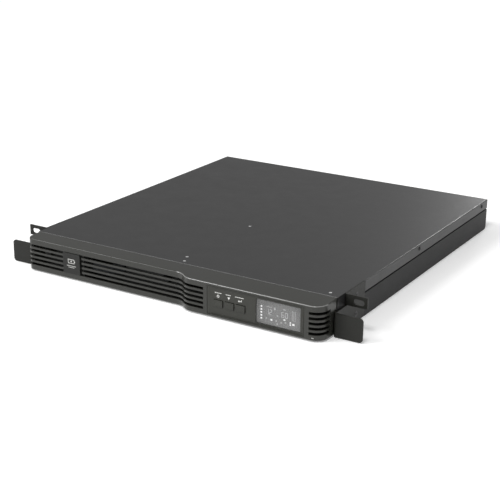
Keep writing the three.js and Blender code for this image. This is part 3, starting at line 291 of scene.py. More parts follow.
def display_light(name):
    """Lit liquid crystal: a soft glow that fades towards the edges, with a faint uneven grain."""
    material = bpy.data.materials.new(name)
    material.use_nodes = True
    tree = material.node_tree
    shader = tree.nodes["Principled BSDF"]
    shader.inputs["Roughness"].default_value = 0.35
    shader.inputs["Base Color"].default_value = (0.05, 0.05, 0.05, 1)
    shader.inputs["Emission Strength"].default_value = 1.0
    place = tree.nodes.new("ShaderNodeTexCoord")
    around = tree.nodes.new("ShaderNodeMapping")
    (middle_x, middle_z), (reach_x, reach_z) = GLOW_MIDDLE, GLOW_REACH
    around.inputs["Location"].default_value = (-middle_x / reach_x, 0, -middle_z / reach_z)
    around.inputs["Scale"].default_value = (1 / reach_x, 0, 1 / reach_z)
    link(tree, place.outputs["Object"], around.inputs["Vector"])
    glow = tree.nodes.new("ShaderNodeTexGradient")
    glow.gradient_type = "SPHERICAL"
    link(tree, around.outputs["Vector"], glow.inputs["Vector"])
    grain = tree.nodes.new("ShaderNodeTexNoise")
    grain.inputs["Scale"].default_value = 60
    grain.inputs["Detail"].default_value = 4
    link(tree, place.outputs["Object"], grain.inputs["Vector"])
    together = tree.nodes.new("ShaderNodeMath")
    together.operation = "MULTIPLY_ADD"
    together.inputs[1].default_value = 0.1
    link(tree, grain.outputs["Fac"], together.inputs[0])
    link(tree, glow.outputs["Fac"], together.inputs[2])
    ramp = tree.nodes.new("ShaderNodeValToRGB")
    ramp.color_ramp.elements[0].color = (0.045, 0.045, 0.044, 1)
    ramp.color_ramp.elements[0].position = 0.06
    ramp.color_ramp.elements[1].color = (0.2, 0.202, 0.202, 1)
    ramp.color_ramp.elements[1].position = 0.7
    link(tree, together.outputs["Value"], ramp.inputs["Fac"])
    link(tree, ramp.outputs["Color"], shader.inputs["Emission Color"])
    return material


def clear(name, alpha):
    material = bpy.data.materials.new(name)
    material.use_nodes = True
    shader = material.node_tree.nodes["Principled BSDF"]
    shader.inputs["Base Color"].default_value = (0.09, 0.09, 0.085, 1)
    shader.inputs["Roughness"].default_value = 0.08
    shader.inputs["Alpha"].default_value = alpha
    return material


MATERIALS = {
    "painted_steel": surface("painted_steel", (0.0225, 0.0225, 0.0225), 0.38, grain=0.45 * MM, bump=0.2,
                             variation=0.05, specular=0.33),
    "bracket_steel": surface("bracket_steel", (0.0145, 0.0147, 0.0125), 0.48, grain=0.4 * MM, bump=0.2,
                             specular=0.25),
    "bezel_plastic": surface("bezel_plastic", (0.0238, 0.0243, 0.0205), 0.3, grain=0.25 * MM, bump=0.12,
                             specular=0.45),
    "panel_plastic": surface("panel_plastic", (0.0285, 0.029, 0.024), 0.4, grain=0.2 * MM, bump=0.08,
                             specular=0.35),
    "button_plastic": surface("button_plastic", (0.0285, 0.029, 0.024), 0.38, grain=0.2 * MM, bump=0.08,
                              specular=0.35),
    "black_plastic": surface("black_plastic", (0.012, 0.012, 0.013), 0.42, grain=0.3 * MM, bump=0.12,
                             specular=0.4),
    "zinc_steel": surface("zinc_steel", (0.4, 0.41, 0.42), 0.34, metal=1, grain=0.6 * MM, bump=0.1,
                          variation=0.15, stretch=(0.15, 1, 1)),
    "black_screw": surface("black_screw", (0.02, 0.02, 0.02), 0.35, metal=0.6),
    "battery_case": surface("battery_case", (0.025, 0.027, 0.031), 0.55, grain=0.5 * MM, bump=0.25),
    "aluminium": surface("aluminium", (0.6, 0.61, 0.62), 0.38, metal=1, grain=0.5 * MM, stretch=(1, 0.1, 1)),
    "capacitor_sleeve": surface("capacitor_sleeve", (0.02, 0.03, 0.08), 0.3, grain=1 * MM, bump=0.03),
    "relay_case": surface("relay_case", (0.015, 0.02, 0.025), 0.3, grain=0.3 * MM),
    "laminations": banded("laminations", (0.16, 0.14, 0.12), (0.06, 0.052, 0.045), 0.45, "Z", 0.5 * MM,
                          metal=0.7),
    "winding": banded("winding", (0.42, 0.15, 0.03), (0.2, 0.06, 0.012), 0.35, "X", 0.9 * MM, metal=0.4),
    "strap_fabric": banded("strap_fabric", (0.02, 0.022, 0.026), (0.045, 0.048, 0.054), 0.85, "X", 1.2 * MM,
                           bump=0.8),
    "circuit_board": circuit("circuit_board"),
    "display": display_light("display"),
    "clear_lens": clear("clear_lens", 0.16),
}
# white print that also glows faintly: the white is the print's own colour, the glow is painted light
PRINT_AND_PAINTED_GLOW = glowing("print_with_painted_glow", (0.62, 0.62, 0.6), 0.1)
LIT_SEGMENT = glowing("lit_segment", (0.4, 0.4, 0.4), 0.8)
BRIGHT_SEGMENT = glowing("bright_segment", (0.7, 0.7, 0.7), 0.9)
BRASS = surface("brass_contact", (0.6, 0.42, 0.15), 0.3, metal=1)
RIVET_STEEL = surface("rivet_steel", (0.62, 0.62, 0.62), 0.35, metal=0.6)
# light metal grey for the strip along the cover's front edge: a painted highlight on the seam, not bare worn
# metal
SEAM_HIGHLIGHT = surface("painted_seam_highlight", (0.45, 0.45, 0.45), 0.35, metal=0.4)
# light glossy grey for the bezel's top front fillet: a painted highlight, not rubbed plastic
BEZEL_EDGE_HIGHLIGHT = surface("painted_edge_highlight", (0.2, 0.2, 0.195), 0.25, specular=0.8)
# a darker, less glossy copy of painted_steel: painted shade on the chassis sides
SHADED_SIDE_STEEL = surface("shaded_side_steel", (0.02, 0.02, 0.02), 0.5, grain=0.45 * MM, bump=0.2, variation=0.05,
                     specular=0.15)
BADGE_PLASTIC = surface("badge_plastic", (0.014, 0.0143, 0.0128), 0.38, grain=0.2 * MM, bump=0.08,
                        specular=0.3)
# chassis_base wears the painted shade copy of the cover's paint; badge_plate wears its own darker plastic
SHADE_AND_FINISH_BY_PIECE = {"chassis_base": SHADED_SIDE_STEEL, "badge_plate": BADGE_PLASTIC}
LABEL_PAPER = surface("label_paper", (0.28, 0.29, 0.3), 0.6, grain=0.5 * MM, bump=0.05)
RED_PLASTIC = surface("red_insulator", (0.35, 0.02, 0.015), 0.45)


# ---------------------------------------------------------------- mesh helpers

def new_piece(name, mesh_or_bm, body, slot, material=None, replaces=()):
    """Links a finished mesh as a piece that rides on body and wears the slot's material."""
    if isinstance(mesh_or_bm, bmesh.types.BMesh):
        mesh = bpy.data.meshes.new(name)
        mesh_or_bm.to_mesh(mesh)
        mesh_or_bm.free()
    else:
        mesh = mesh_or_bm
    piece = bpy.data.objects.new(name, mesh)
    scene.collection.objects.link(piece)
    mesh.materials.clear()
    mesh.materials.append(material or MATERIALS[slot])
    mesh.shade_smooth()
    mesh.set_sharp_from_angle(angle=SMOOTH_BELOW)
    normals = piece.modifiers.new("normals", "WEIGHTED_NORMAL")
    normals.keep_sharp = True
    normals.weight = 100
    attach(piece, body)
    if replaces:
        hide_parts(*replaces)
    return piece


def is_sharp(edge, degrees=30):
    return len(edge.link_faces) == 2 and edge.calc_face_angle(0) > math.radians(degrees)


def bevel_edges(bm, edges, width, segments=2):
    bmesh.ops.bevel(bm, geom=edges, offset=width, offset_type="OFFSET", segments=segments, profile=0.5,
                    affect="EDGES", clamp_overlap=True)


def softened(node, width, segments=2, folds=None, fold_width=0):
    """The CAD node's shape with its flat faces merged and its sharp edges rounded.

    folds picks the edges that get the larger radius fold_width before the rest get width.
    """
    bm = bmesh.new()
    bm.from_mesh(nodes[node].data)
    bm.transform(nodes[node].matrix_world)
    bmesh.ops.remove_doubles(bm, verts=bm.verts, dist=1e-6)
    if node == "top_cover":  # the rivet heads are a piece of their own
        for v in bm.verts:
            v.co.z = min(v.co.z, COVER_TOP)
    bmesh.ops.dissolve_limit(bm, angle_limit=math.radians(1), verts=bm.verts, edges=bm.edges)
    if folds:
        bmesh.ops.triangulate(bm, faces=[f for f in bm.faces if len(f.verts) > 4])
        bevel_edges(bm, [e for e in bm.edges if is_sharp(e) and folds(e)], fold_width, 5)
    edges = [e for e in bm.edges if is_sharp(e, 40) and e.calc_length() > 2.5 * width]
    bevel_edges(bm, edges, width, segments)
    return new_piece(node + "_body", bm, BODY_OF[node], SLOT_OF[node], SHADE_AND_FINISH_BY_PIECE.get(node), [node])


def lathe_into(bm, profile, place, axis, sides=28):
    """A turned form: profile is a list of (radius, distance along axis) from place."""
    turn = Vector((0, 0, 1)).rotation_difference(Vector(axis)).to_matrix()
    rings = []
    for radius, along in profile:
        if radius < 1e-7:
            rings.append([bm.verts.new(place + turn @ Vector((0, 0, along)))])
            continue
        angles = [2 * math.pi * k / sides for k in range(sides)]
        rings.append([bm.verts.new(place + turn @ Vector((radius * math.cos(a), radius * math.sin(a), along)))
                      for a in angles])
    for a, b in zip(rings, rings[1:]):
        for k in range(sides):
            n = (k + 1) % sides
            corners = [a[k % len(a)], a[n % len(a)], b[n % len(b)], b[k % len(b)]]
            unique = list(dict.fromkeys(corners))
            if len(unique) >= 3:
                bm.faces.new(unique)
    bmesh.ops.recalc_face_normals(bm, faces=bm.faces)


def carved(bm, cutter):
    """The shape of bm with the cutter taken out of it."""
    made = []
    for part in (bm, cutter):
        mesh = bpy.data.meshes.new("work")
        part.to_mesh(mesh)
        part.free()
        made.append(bpy.data.objects.new("work", mesh))
        scene.collection.objects.link(made[-1])
    target, tool = made
    cut = target.modifiers.new("cut", "BOOLEAN")
    cut.operation = "DIFFERENCE"
    cut.solver = "EXACT"
    cut.use_self = True
    cut.object = tool
    graph = bpy.context.evaluated_depsgraph_get()
    result = bpy.data.meshes.new_from_object(target.evaluated_get(graph))
    for item in made:
        bpy.data.objects.remove(item)
    bm = bmesh.new()
    bm.from_mesh(result)
    bpy.data.meshes.remove(result)
    return bm


def cross_head_screw(name, place, axis, profile, recess, body, slot, replaces=()):
    """A turned screw with a cross recess: recess is (half length, half width, top, depth) along axis."""
    bm = bmesh.new()
    lathe_into(bm, profile, Vector(place), axis)
    half, narrow, top, depth = recess
    cutter = bmesh.new()
    turn = Vector((0, 0, 1)).rotation_difference(Vector(axis)).to_matrix().to_4x4()
    box_into(cutter, -half, half, -narrow, narrow, top - depth, top + 2 * MM)
    box_into(cutter, -narrow, narrow, -half, half, top - depth * 1.01, top + 2.1 * MM)
    cutter.transform(Matrix.Translation(place) @ turn @ Matrix.Rotation(0.5, 4, "Z"))
    return new_piece(name, carved(bm, cutter), body, slot, None, replaces)


def prints(name, body, boxes, y, material=None, slot="panel_plastic", thick=0.06 * MM):
    """Printed marks on a face that looks towards -Y: boxes of (x0, x1, z0, z1) in millimetres."""
    bm = bmesh.new()
    for x0, x1, z0, z1 in boxes:
        box_into(bm, x0 * MM, x1 * MM, y - thick, y + thick, z0 * MM, z1 * MM)
    return new_piece(name, bm, body, slot, material or PRINT_AND_PAINTED_GLOW)


def box_into(bm, x0, x1, y0, y1, z0, z1):
    made = bmesh.ops.create_cube(bm, size=1)
    for v in made["verts"]:
        v.co.x = x0 if v.co.x < 0 else x1
        v.co.y = y0 if v.co.y < 0 else y1
        v.co.z = z0 if v.co.z < 0 else z1
    return made["verts"]


def rounded_block(name, x0, x1, y0, y1, z0, z1, radius, body, slot, segments=3, material=None, replaces=()):
    bm = bmesh.new()
    box_into(bm, x0, x1, y0, y1, z0, z1)
    bevel_edges(bm, bm.edges[:], radius, segments)
    return new_piece(name, bm, body, slot, material, replaces)


# ---------------------------------------------------------------- front bezel

FILLET = 1.1 * MM
WALL = 2.2 * MM
STEP = 9.7 * MM
STEP_LEFT = 16.3 * MM
STEP_RIGHT = 41.6 * MM
RIGHT_CORNER = 14.5 * MM
LEFT_CORNER = 9.5 * MM
FRONT_LOW = 1.5 * MM
FRONT_HIGH = 41.6 * MM
SLOT_HEIGHT = 3.3 * MM
SLOT_ROWS = [(9.4 + 5.9 * row) * MM for row in range(5)]
SLOT_REAR_Y = FRONT_Y + 20 * MM
BADGE_HOLE = (-153.6 * MM, -124.7 * MM)
PANEL_LOW, PANEL_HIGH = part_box("control_panel")
PANEL_GAP = 0.4 * MM
PANEL_HOLE = (PANEL_LOW.z - PANEL_GAP, PANEL_HIGH.z + PANEL_GAP)
ARC_STEPS = 12


def forward_share(y):
    return (NOSE_Y - GAP - y) / (NOSE_Y - GAP - FRONT_Y)


def bezel_floor(y):
    return BEZEL_LOW + (FRONT_LOW - BEZEL_LOW) * forward_share(y)


def bezel_ceiling(y):
    return BEZEL_HIGH + (FRONT_HIGH - BEZEL_HIGH) * forward_share(y)


def arc_angles(start, end, count=ARC_STEPS):
    return [start + (end - start) * i / count for i in range(count + 1)]


def bezel_stations():
    """Plan outline of the bezel as functions of the inset, from the left rear round to the right rear."""
    rear = NOSE_Y - GAP
    left_y = FRONT_Y + STEP
    run = (STEP_RIGHT - STEP_LEFT) / 2
    radius = (run * run + STEP * STEP / 4) / STEP
    sweep = math.asin(run / radius)
    quarter = math.pi / 2
    stations = []

    def side(sign, y):
        stations.append((lambda inset: (sign * (BEZEL_HALF - inset), y), sign * BEZEL_HALF, y))

    def front(x, face_y):
        stations.append((lambda inset: (x, face_y + inset), x, face_y))

    def bend(cx, cy, r, angle, grows):
        def at(inset):
            reach = r + inset if grows else r - inset
            return cx + reach * math.cos(angle), cy + reach * math.sin(angle)
        stations.append((at, cx + r * math.cos(angle), cy + r * math.sin(angle)))

    side(-1, rear)
    side(-1, SLOT_REAR_Y)
    for a in arc_angles(2 * quarter, 3 * quarter):
        bend(-BEZEL_HALF + LEFT_CORNER, left_y + LEFT_CORNER, LEFT_CORNER, a, False)
    for x in BADGE_HOLE:
        front(x, left_y)
    for a in arc_angles(quarter, quarter - sweep):
        bend(STEP_LEFT, left_y - radius, radius, a, True)
    for a in arc_angles(-quarter - sweep, -quarter)[1:]:
        bend(STEP_RIGHT, FRONT_Y + radius, radius, a, False)
    front(PANEL_LOW.x - 5.6 * MM, FRONT_Y)
    front(PANEL_LOW.x - PANEL_GAP, FRONT_Y)
    front(PANEL_HIGH.x + PANEL_GAP, FRONT_Y)
    front(PANEL_HIGH.x + 6.3 * MM, FRONT_Y)
    for a in arc_angles(-quarter, 0):
        bend(BEZEL_HALF - RIGHT_CORNER, FRONT_Y + RIGHT_CORNER, RIGHT_CORNER, a, False)
    side(1, SLOT_REAR_Y)
    side(1, rear)
    return stations


def bezel_levels():
    """The grid's rows from the bottom up: the height at a given y, the inset and the height at the front."""
    quarter_steps = [math.pi / 2 * i / 5 for i in range(6)]
    levels = []

    def near_floor(offset, inset):
        levels.append((lambda y: bezel_floor(y) + offset, inset, FRONT_LOW + offset))

    def near_ceiling(offset, inset):
        levels.append((lambda y: bezel_ceiling(y) - offset, inset, FRONT_HIGH - offset))

    for a in reversed(quarter_steps):
        near_floor(FILLET * (1 - math.sin(a)), FILLET * (1 - math.cos(a)))
    edges = [PANEL_HOLE[0]]
    for z in SLOT_ROWS:
        edges += [z - SLOT_HEIGHT / 2, z + SLOT_HEIGHT / 2]
    edges.append(PANEL_HOLE[1])
    for z in edges:
        levels.append((lambda y, z=z: z, 0, z))
    for a in quarter_steps:
        near_ceiling(FILLET * (1 - math.sin(a)), FILLET * (1 - math.cos(a)))
    return levels


def within(lower, values, upper):
    return lower - 1e-5 < min(values) and max(values) < upper + 1e-5


def bezel_opening(xs, ys, zs):
    """Whether the grid cell between these two stations and these two heights is open."""
    lowest, highest = SLOT_ROWS[0] - SLOT_HEIGHT / 2, SLOT_ROWS[-1] + SLOT_HEIGHT / 2
    if within(PANEL_LOW.x - PANEL_GAP, xs, PANEL_HIGH.x + PANEL_GAP):
        return within(PANEL_HOLE[0], zs, PANEL_HOLE[1])
    if within(BADGE_HOLE[0], xs, BADGE_HOLE[1]):
        return within(lowest, zs, highest)
    if max(ys) > SLOT_REAR_Y + 1e-5:
        return False
    if not any(abs(sum(zs) / 2 - z) < SLOT_HEIGHT / 2 for z in SLOT_ROWS):
        return False
    left = max(xs) < BADGE_HOLE[0] + 1e-5
    middle = within(BADGE_HOLE[1], xs, PANEL_LOW.x - 5.6 * MM)
    right = min(xs) > PANEL_HIGH.x + 6.2 * MM
    return left or middle or right


def make_bezel():
    stations = bezel_stations()
    levels = bezel_levels()
    bm = bmesh.new()
    outer, inner = [], []
    for at, _, _ in stations:
        column = []
        for height, inset, _ in levels:
            x, y = at(inset)
            column.append(bm.verts.new((x, y, height(y))))
        outer.append(column)
        x, y = at(WALL)
        inner_low, inner_high = bezel_floor(y) + WALL, bezel_ceiling(y) - WALL
        column, made = [], {}
        for height, _, _ in levels:
            key = round(min(max(height(y), inner_low), inner_high), 7)
            if key not in made:
                made[key] = bm.verts.new((x, y, key))
            column.append(made[key])
        inner.append(column)

    def face(*verts):
        unique = [v for i, v in enumerate(verts) if v is not verts[i - 1]]
        if len(unique) >= 3:
            bm.faces.new(unique)

    columns, rows = len(stations) - 1, len(levels) - 1
    is_open = [[bezel_opening((stations[i][1], stations[i + 1][1]), (stations[i][2], stations[i + 1][2]),
                              (levels[j][2], levels[j + 1][2])) for j in range(rows)] for i in range(columns)]
    for i in range(columns):
        for j in range(rows):
            if not is_open[i][j]:
                face(outer[i][j], outer[i + 1][j], outer[i + 1][j + 1], outer[i][j + 1])
                face(inner[i][j + 1], inner[i + 1][j + 1], inner[i + 1][j], inner[i][j])
                continue
            for ni, nj, a, b in ((i - 1, j, (i, j), (i, j + 1)), (i + 1, j, (i + 1, j + 1), (i + 1, j)),
                                 (i, j - 1, (i + 1, j), (i, j)), (i, j + 1, (i, j + 1), (i + 1, j + 1))):
                if not is_open[ni][nj]:
                    face(outer[a[0]][a[1]], outer[b[0]][b[1]], inner[b[0]][b[1]], inner[a[0]][a[1]])
    for level, ring in ((0, outer), (-1, outer), (0, inner), (-1, inner)):
        face(*[column[level] for column in ring])
    for j in range(rows):
        face(outer[0][j], outer[0][j + 1], inner[0][j + 1], inner[0][j])
        face(outer[-1][j], outer[-1][j + 1], inner[-1][j + 1], inner[-1][j])
    face(outer[0][0], outer[-1][0], inner[-1][0], inner[0][0])
    face(outer[0][-1], outer[-1][-1], inner[-1][-1], inner[0][-1])
    bmesh.ops.recalc_face_normals(bm, faces=bm.faces)

    def at_opening(edge):
        middle = (edge.verts[0].co + edge.verts[1].co) / 2
        return is_sharp(edge, 50) and 4 * MM < middle.z < 39.5 * MM and middle.y < NOSE_Y - 1 * MM

    bevel_edges(bm, [e for e in bm.edges if at_opening(e)], 0.45 * MM, 3)
    return new_piece("bezel_shell", bm, "bezel", "bezel_plastic", replaces=["front_bezel"])


def make_bezel_edge():
    """A painted highlight along the top front edge of the bezel's raised part, as a thin light skin over the
    fillet.
    """
    skin = 0.02 * MM
    bm = bmesh.new()
    strips = []
    for at, station_x, _ in bezel_stations()[2:-2]:
        if station_x < STEP_LEFT:
            continue
        strip = []
        for k in range(5):
            a = math.pi / 2 * (0.2 + 0.15 * k)
            x, y = at(FILLET - (FILLET + skin) * math.cos(a))
            strip.append(bm.verts.new((x, y, bezel_ceiling(y) - FILLET + (FILLET + skin) * math.sin(a))))
        strips.append(strip)
    for a, b in zip(strips, strips[1:]):
        for k in range(4):
            bm.faces.new((a[k], b[k], b[k + 1], a[k + 1]))
    return new_piece("bezel_edge", bm, "bezel", "bezel_plastic", BEZEL_EDGE_HIGHLIGHT)


def make_bezel_hooks():
    """Snap hooks at the bezel's two ends, which reach into the chassis."""
    bm = bmesh.new()
    end = high("front_bezel").y
    for sign in (-1, 1):
        outline = [(NOSE_Y - 4 * MM, 0), (end, 0), (end, 0.6 * MM), (NOSE_Y + 4 * MM, 1.8 * MM),
                   (NOSE_Y - 4 * MM, 1.8 * MM)]
        rings = []
        for z in (13 * MM, 27 * MM):
            rings.append([bm.verts.new((sign * (208.4 * MM + reach), y, z)) for y, reach in outline])
        bm.faces.new(rings[0])
        bm.faces.new(rings[1])
        for k in range(len(outline)):
            bm.faces.new((rings[0][k - 1], rings[0][k], rings[1][k], rings[1][k - 1]))
    bmesh.ops.recalc_face_normals(bm, faces=bm.faces)
    bevel_edges(bm, bm.edges[:], 0.2 * MM, 1)
    return new_piece("bezel_hooks", bm, "bezel", "bezel_plastic")


# ---------------------------------------------------------------- the CAD shapes with rounded edges

SOFT_EDGES = {
    "top_cover": 0.2, "chassis_base": 0.3, "rear_panel": 0.2, "card_cover": 0.3, "bay_divider": 0.2,
    "rack_bracket_right": 0.35, "rack_bracket_left": 0.35, "badge_plate": 0.4, "control_panel": 0.35,
    "display_window": 0.2, "display_module": 0.15, "control_board": 0.1, "power_button": 0.55,
    "select_button": 0.55, "enter_button": 0.55, "battery_tray": 0.25, "battery_1": 1.2, "battery_2": 1.2,
    "battery_3": 1.2, "battery_4": 1.2, "tray_strap": 0.4, "battery_plug": 0.6, "battery_socket": 0.4,
    "transformer_core": 0.4, "transformer_coil": 1.2, "main_board": 0.1,
    "heat_sink_1": 0.3, "heat_sink_2": 0.3,
    "capacitor_1": 0.3, "capacitor_2": 0.3, "capacitor_3": 0.3, "capacitor_4": 0.3, "relay_1": 0.6,
    "relay_2": 0.6, "fan_frame": 0.5, "fan_rotor": 0.2, "mains_inlet": 0.35, "outlet_1": 0.35,
    "outlet_2": 0.35, "outlet_3": 0.35, "outlet_4": 0.35, "outlet_5": 0.35, "outlet_6": 0.35,
    "breaker_body": 0.3, "breaker_button": 0.4, "usb_port": 0.25, "serial_port": 0.25, "network_jacks": 0.25,
    "ground_screw": 0.3,
}


def cover_fold(edge):
    return all(abs(v.co.x) > HALF_WIDTH - 0.1 * MM and v.co.z > 42.9 * MM for v in edge.verts)


def base_fold(edge):
    return all(abs(v.co.x) > 212 * MM and v.co.z < 0.1 * MM for v in edge.verts)


def make_softened():
    for node, width in SOFT_EDGES.items():
        folds = {"top_cover": cover_fold, "chassis_base": base_fold}.get(node)
        softened(node, width * MM, 3 if width >= 0.5 else 2, folds, FOLD_RADIUS)


# ---------------------------------------------------------------- screws and rivets

PAN_HEAD = [(0, -5), (1.6, -5), (1.6, 0.3), (2.6, 0.3), (2.6, 0.6), (2.35, 0.85), (1.6, 0.97), (0, 1.0)]
FLAT_HEAD = [(0, -7), (2, -7), (2, -1.6), (3.8, 0), (3.7, 0.15), (3.5, 0.2), (0, 0.2)]
SHORT_PAN = [(0, 0.0), (3, 0.0), (3, 0.9), (2.6, 1.4), (1.6, 1.7), (0, 1.75)]


def in_metres(profile):
    return [(r * MM, along * MM) for r, along in profile]


def make_screws():
    for side, sign in (("right", 1), ("left", -1)):
        for number in (1, 2):
            for kind, profile, recess in (("cover", PAN_HEAD, (1.5, 0.35, 1.0, 0.6)),
                                          ("bracket", FLAT_HEAD, (1.9, 0.45, 0.2, 1.2))):
                node = f"{kind}_screw_{side}_{number}"
                middle = (low(node) + high(node)) / 2
                place = (sign * HALF_WIDTH, middle.y, middle.z)
                cross_head_screw(node + "_body", place, (sign, 0, 0), in_metres(profile),
                                 [v * MM for v in recess], "chassis", "black_screw", [node])
    for number in (1, 2):
        node = f"tray_screw_{number}"
        bm = bmesh.new()
        middle = (low(node) + high(node)) / 2
        place = Vector((middle.x, high(node).y - 4 * MM, middle.z))
        profile = [(0, -4), (2, -4), (2, 0.3), (4.9, 0.3), (5.2, 0.6), (5.2, 7.4), (4.6, 8), (0, 8)]
        lathe_into(bm, in_metres(profile), place, (0, -1, 0), 36)
        for k, v in enumerate(bm.verts):
            away = Vector((v.co.x - place.x, 0, v.co.z - place.z))
            if away.length > 5.1 * MM:
                v.co += away * (0.05 if k % 2 else -0.03)
        new_piece(node + "_body", bm, "tray", "black_screw", None, [node])
    panel_screws = [(-208, 37.5), (-208, 5), (-88, 37.5), (-88, 5), (14, 5), (115, 39), (207.5, 37.5),
                    (208, 5)]
    card_screws = [(-203.5, 21.5), (-140.5, 21.5)]
    for number, (x, z) in enumerate(panel_screws + card_screws, 1):
        y = REAR_Y + (0 if number <= len(panel_screws) else 1.5 * MM)
        cross_head_screw(f"rear_screw_{number}", (x * MM, y, z * MM), (0, 1, 0),
                         in_metres([(r * 0.8, along * 0.8) for r, along in SHORT_PAN]),
                         [v * MM for v in (1.4, 0.35, 1.4, 0.8)], "chassis", "black_screw")


def make_rivets():
    bm = bmesh.new()
    ear_y = FRONT_Y + 50 * MM
    for x, behind in ((1, 146.7), (-0.7, 5.9), (5, -7.8), (198.8, -6.4)):
        profile = [(1.75, -0.1), (1.75, 0.05), (1.5, 0.22), (1.0, 0.33), (0, 0.38)]
        lathe_into(bm, in_metres(profile), Vector((x * MM, ear_y + behind * MM, 43 * MM)), (0, 0, 1), 20)
    new_piece("cover_rivets", bm, "chassis", "painted_steel", RIVET_STEEL)
    # a light strip along the cover's front edge, at the seam with the bezel: a painted highlight
    rounded_block("cover_front_edge", -211.8 * MM, 211.8 * MM, NOSE_Y - 0.03 * MM, NOSE_Y + 0.75 * MM,
                  42.2 * MM, 43.05 * MM, 0.35 * MM, "chassis", "painted_steel", 3, SEAM_HIGHLIGHT)


# ---------------------------------------------------------------- display, keys and badge

DISH_Y = PANEL_LOW.y + 1.3 * MM
GLASS_Y = low("display_module").y + 0.4 * MM
BADGE_Y = low("badge_plate").y
SEGMENTS = {"0": "abcdef", "1": "bc", "2": "abged", "5": "afgcd", "6": "afgedc", "8": "abcdefg"}


def digit(x, z, w, h, t, value):
    """Bars of a seven-segment digit whose lower left corner is at x, z."""
    m = z + h / 2
    bars = {
        "a": (x + t, x + w - t, z + h - t, z + h), "g": (x + t, x + w - t, m - t / 2, m + t / 2),
        "d": (x + t, x + w - t, z, z + t), "f": (x, x + t, m + t / 4, z + h - t / 2),
        "b": (x + w - t, x + w, m + t / 4, z + h - t / 2), "e": (x, x + t, z + t / 2, m - t / 4),
        "c": (x + w - t, x + w, z + t / 2, m - t / 4),
    }
    return [bars[s] for s in SEGMENTS[value]]


def make_display():
    bright = [(133.2, 135.2, 11.8 + 3.5 * k, 13.6 + 3.5 * k) for k in range(5)]
    bright += [(146, 148.3, 12.2, 13.8), (162.6, 164.8, 15.8, 17.3), (170.4, 172, 11.4, 12.9),
               (170.4, 172, 14, 15.4), (173.6, 176.4, 12.2, 14.2)]
    dim = []
    for k, value in enumerate("12"):
        dim += digit(140.6 + 3.9 * k, 18.6, 3.1, 6.4, 0.5, value)
    for k, value in enumerate("60"):
        dim += digit(159.8 + 4.6 * k, 18.6, 3.4, 6.4, 0.5, value)
    for x, z in ((139.8, 12.8), (152.6, 12.2), (154, 8.8), (159, 11.4), (164.2, 12.4), (154, 18.4)):
        dim += [(x, x + 1.8, z, z + 0.4), (x, x + 1.8, z + 1.3, z + 1.7), (x, x + 0.4, z, z + 1.7)]
    dim += [(141, 148, 27.6, 27.9), (161.8, 165, 28, 28.6), (150.8, 152, 25.4, 28.2)]
    dim += [(173.4, 173.7, 17, 29), (175.2, 175.5, 17, 29), (177, 177.3, 17, 29)]
    y = GLASS_Y - 0.12 * MM
    prints("display_segments", "chassis", dim, y, LIT_SEGMENT, "display", 0.1 * MM)
    prints("display_icons", "chassis", bright, y, BRIGHT_SEGMENT, "display", 0.1 * MM)


def flat_shape(bm, points, y, thick):
    """A flat polygon of (x, z) points in millimetres, standing thick either side of y."""
    rings = [[bm.verts.new((x * MM, y + side * thick, z * MM)) for x, z in points] for side in (-1, 1)]
    bm.faces.new(rings[0])
    bm.faces.new(list(reversed(rings[1])))
    for k in range(len(points)):
        bm.faces.new((rings[0][k - 1], rings[0][k], rings[1][k], rings[1][k - 1]))


def ring_arc(bm, cx, cz, radius, width, start, end, y, thick, steps=12):
    """Part of a flat ring between two angles in degrees."""
    angles = [math.radians(start + (end - start) * k / steps) for k in range(steps + 1)]
    outer = [(cx + radius * math.cos(a), cz + radius * math.sin(a)) for a in angles]
    inside = radius - width
    inner = [(cx + inside * math.cos(a), cz + inside * math.sin(a)) for a in reversed(angles)]
    flat_shape(bm, outer + inner, y, thick)


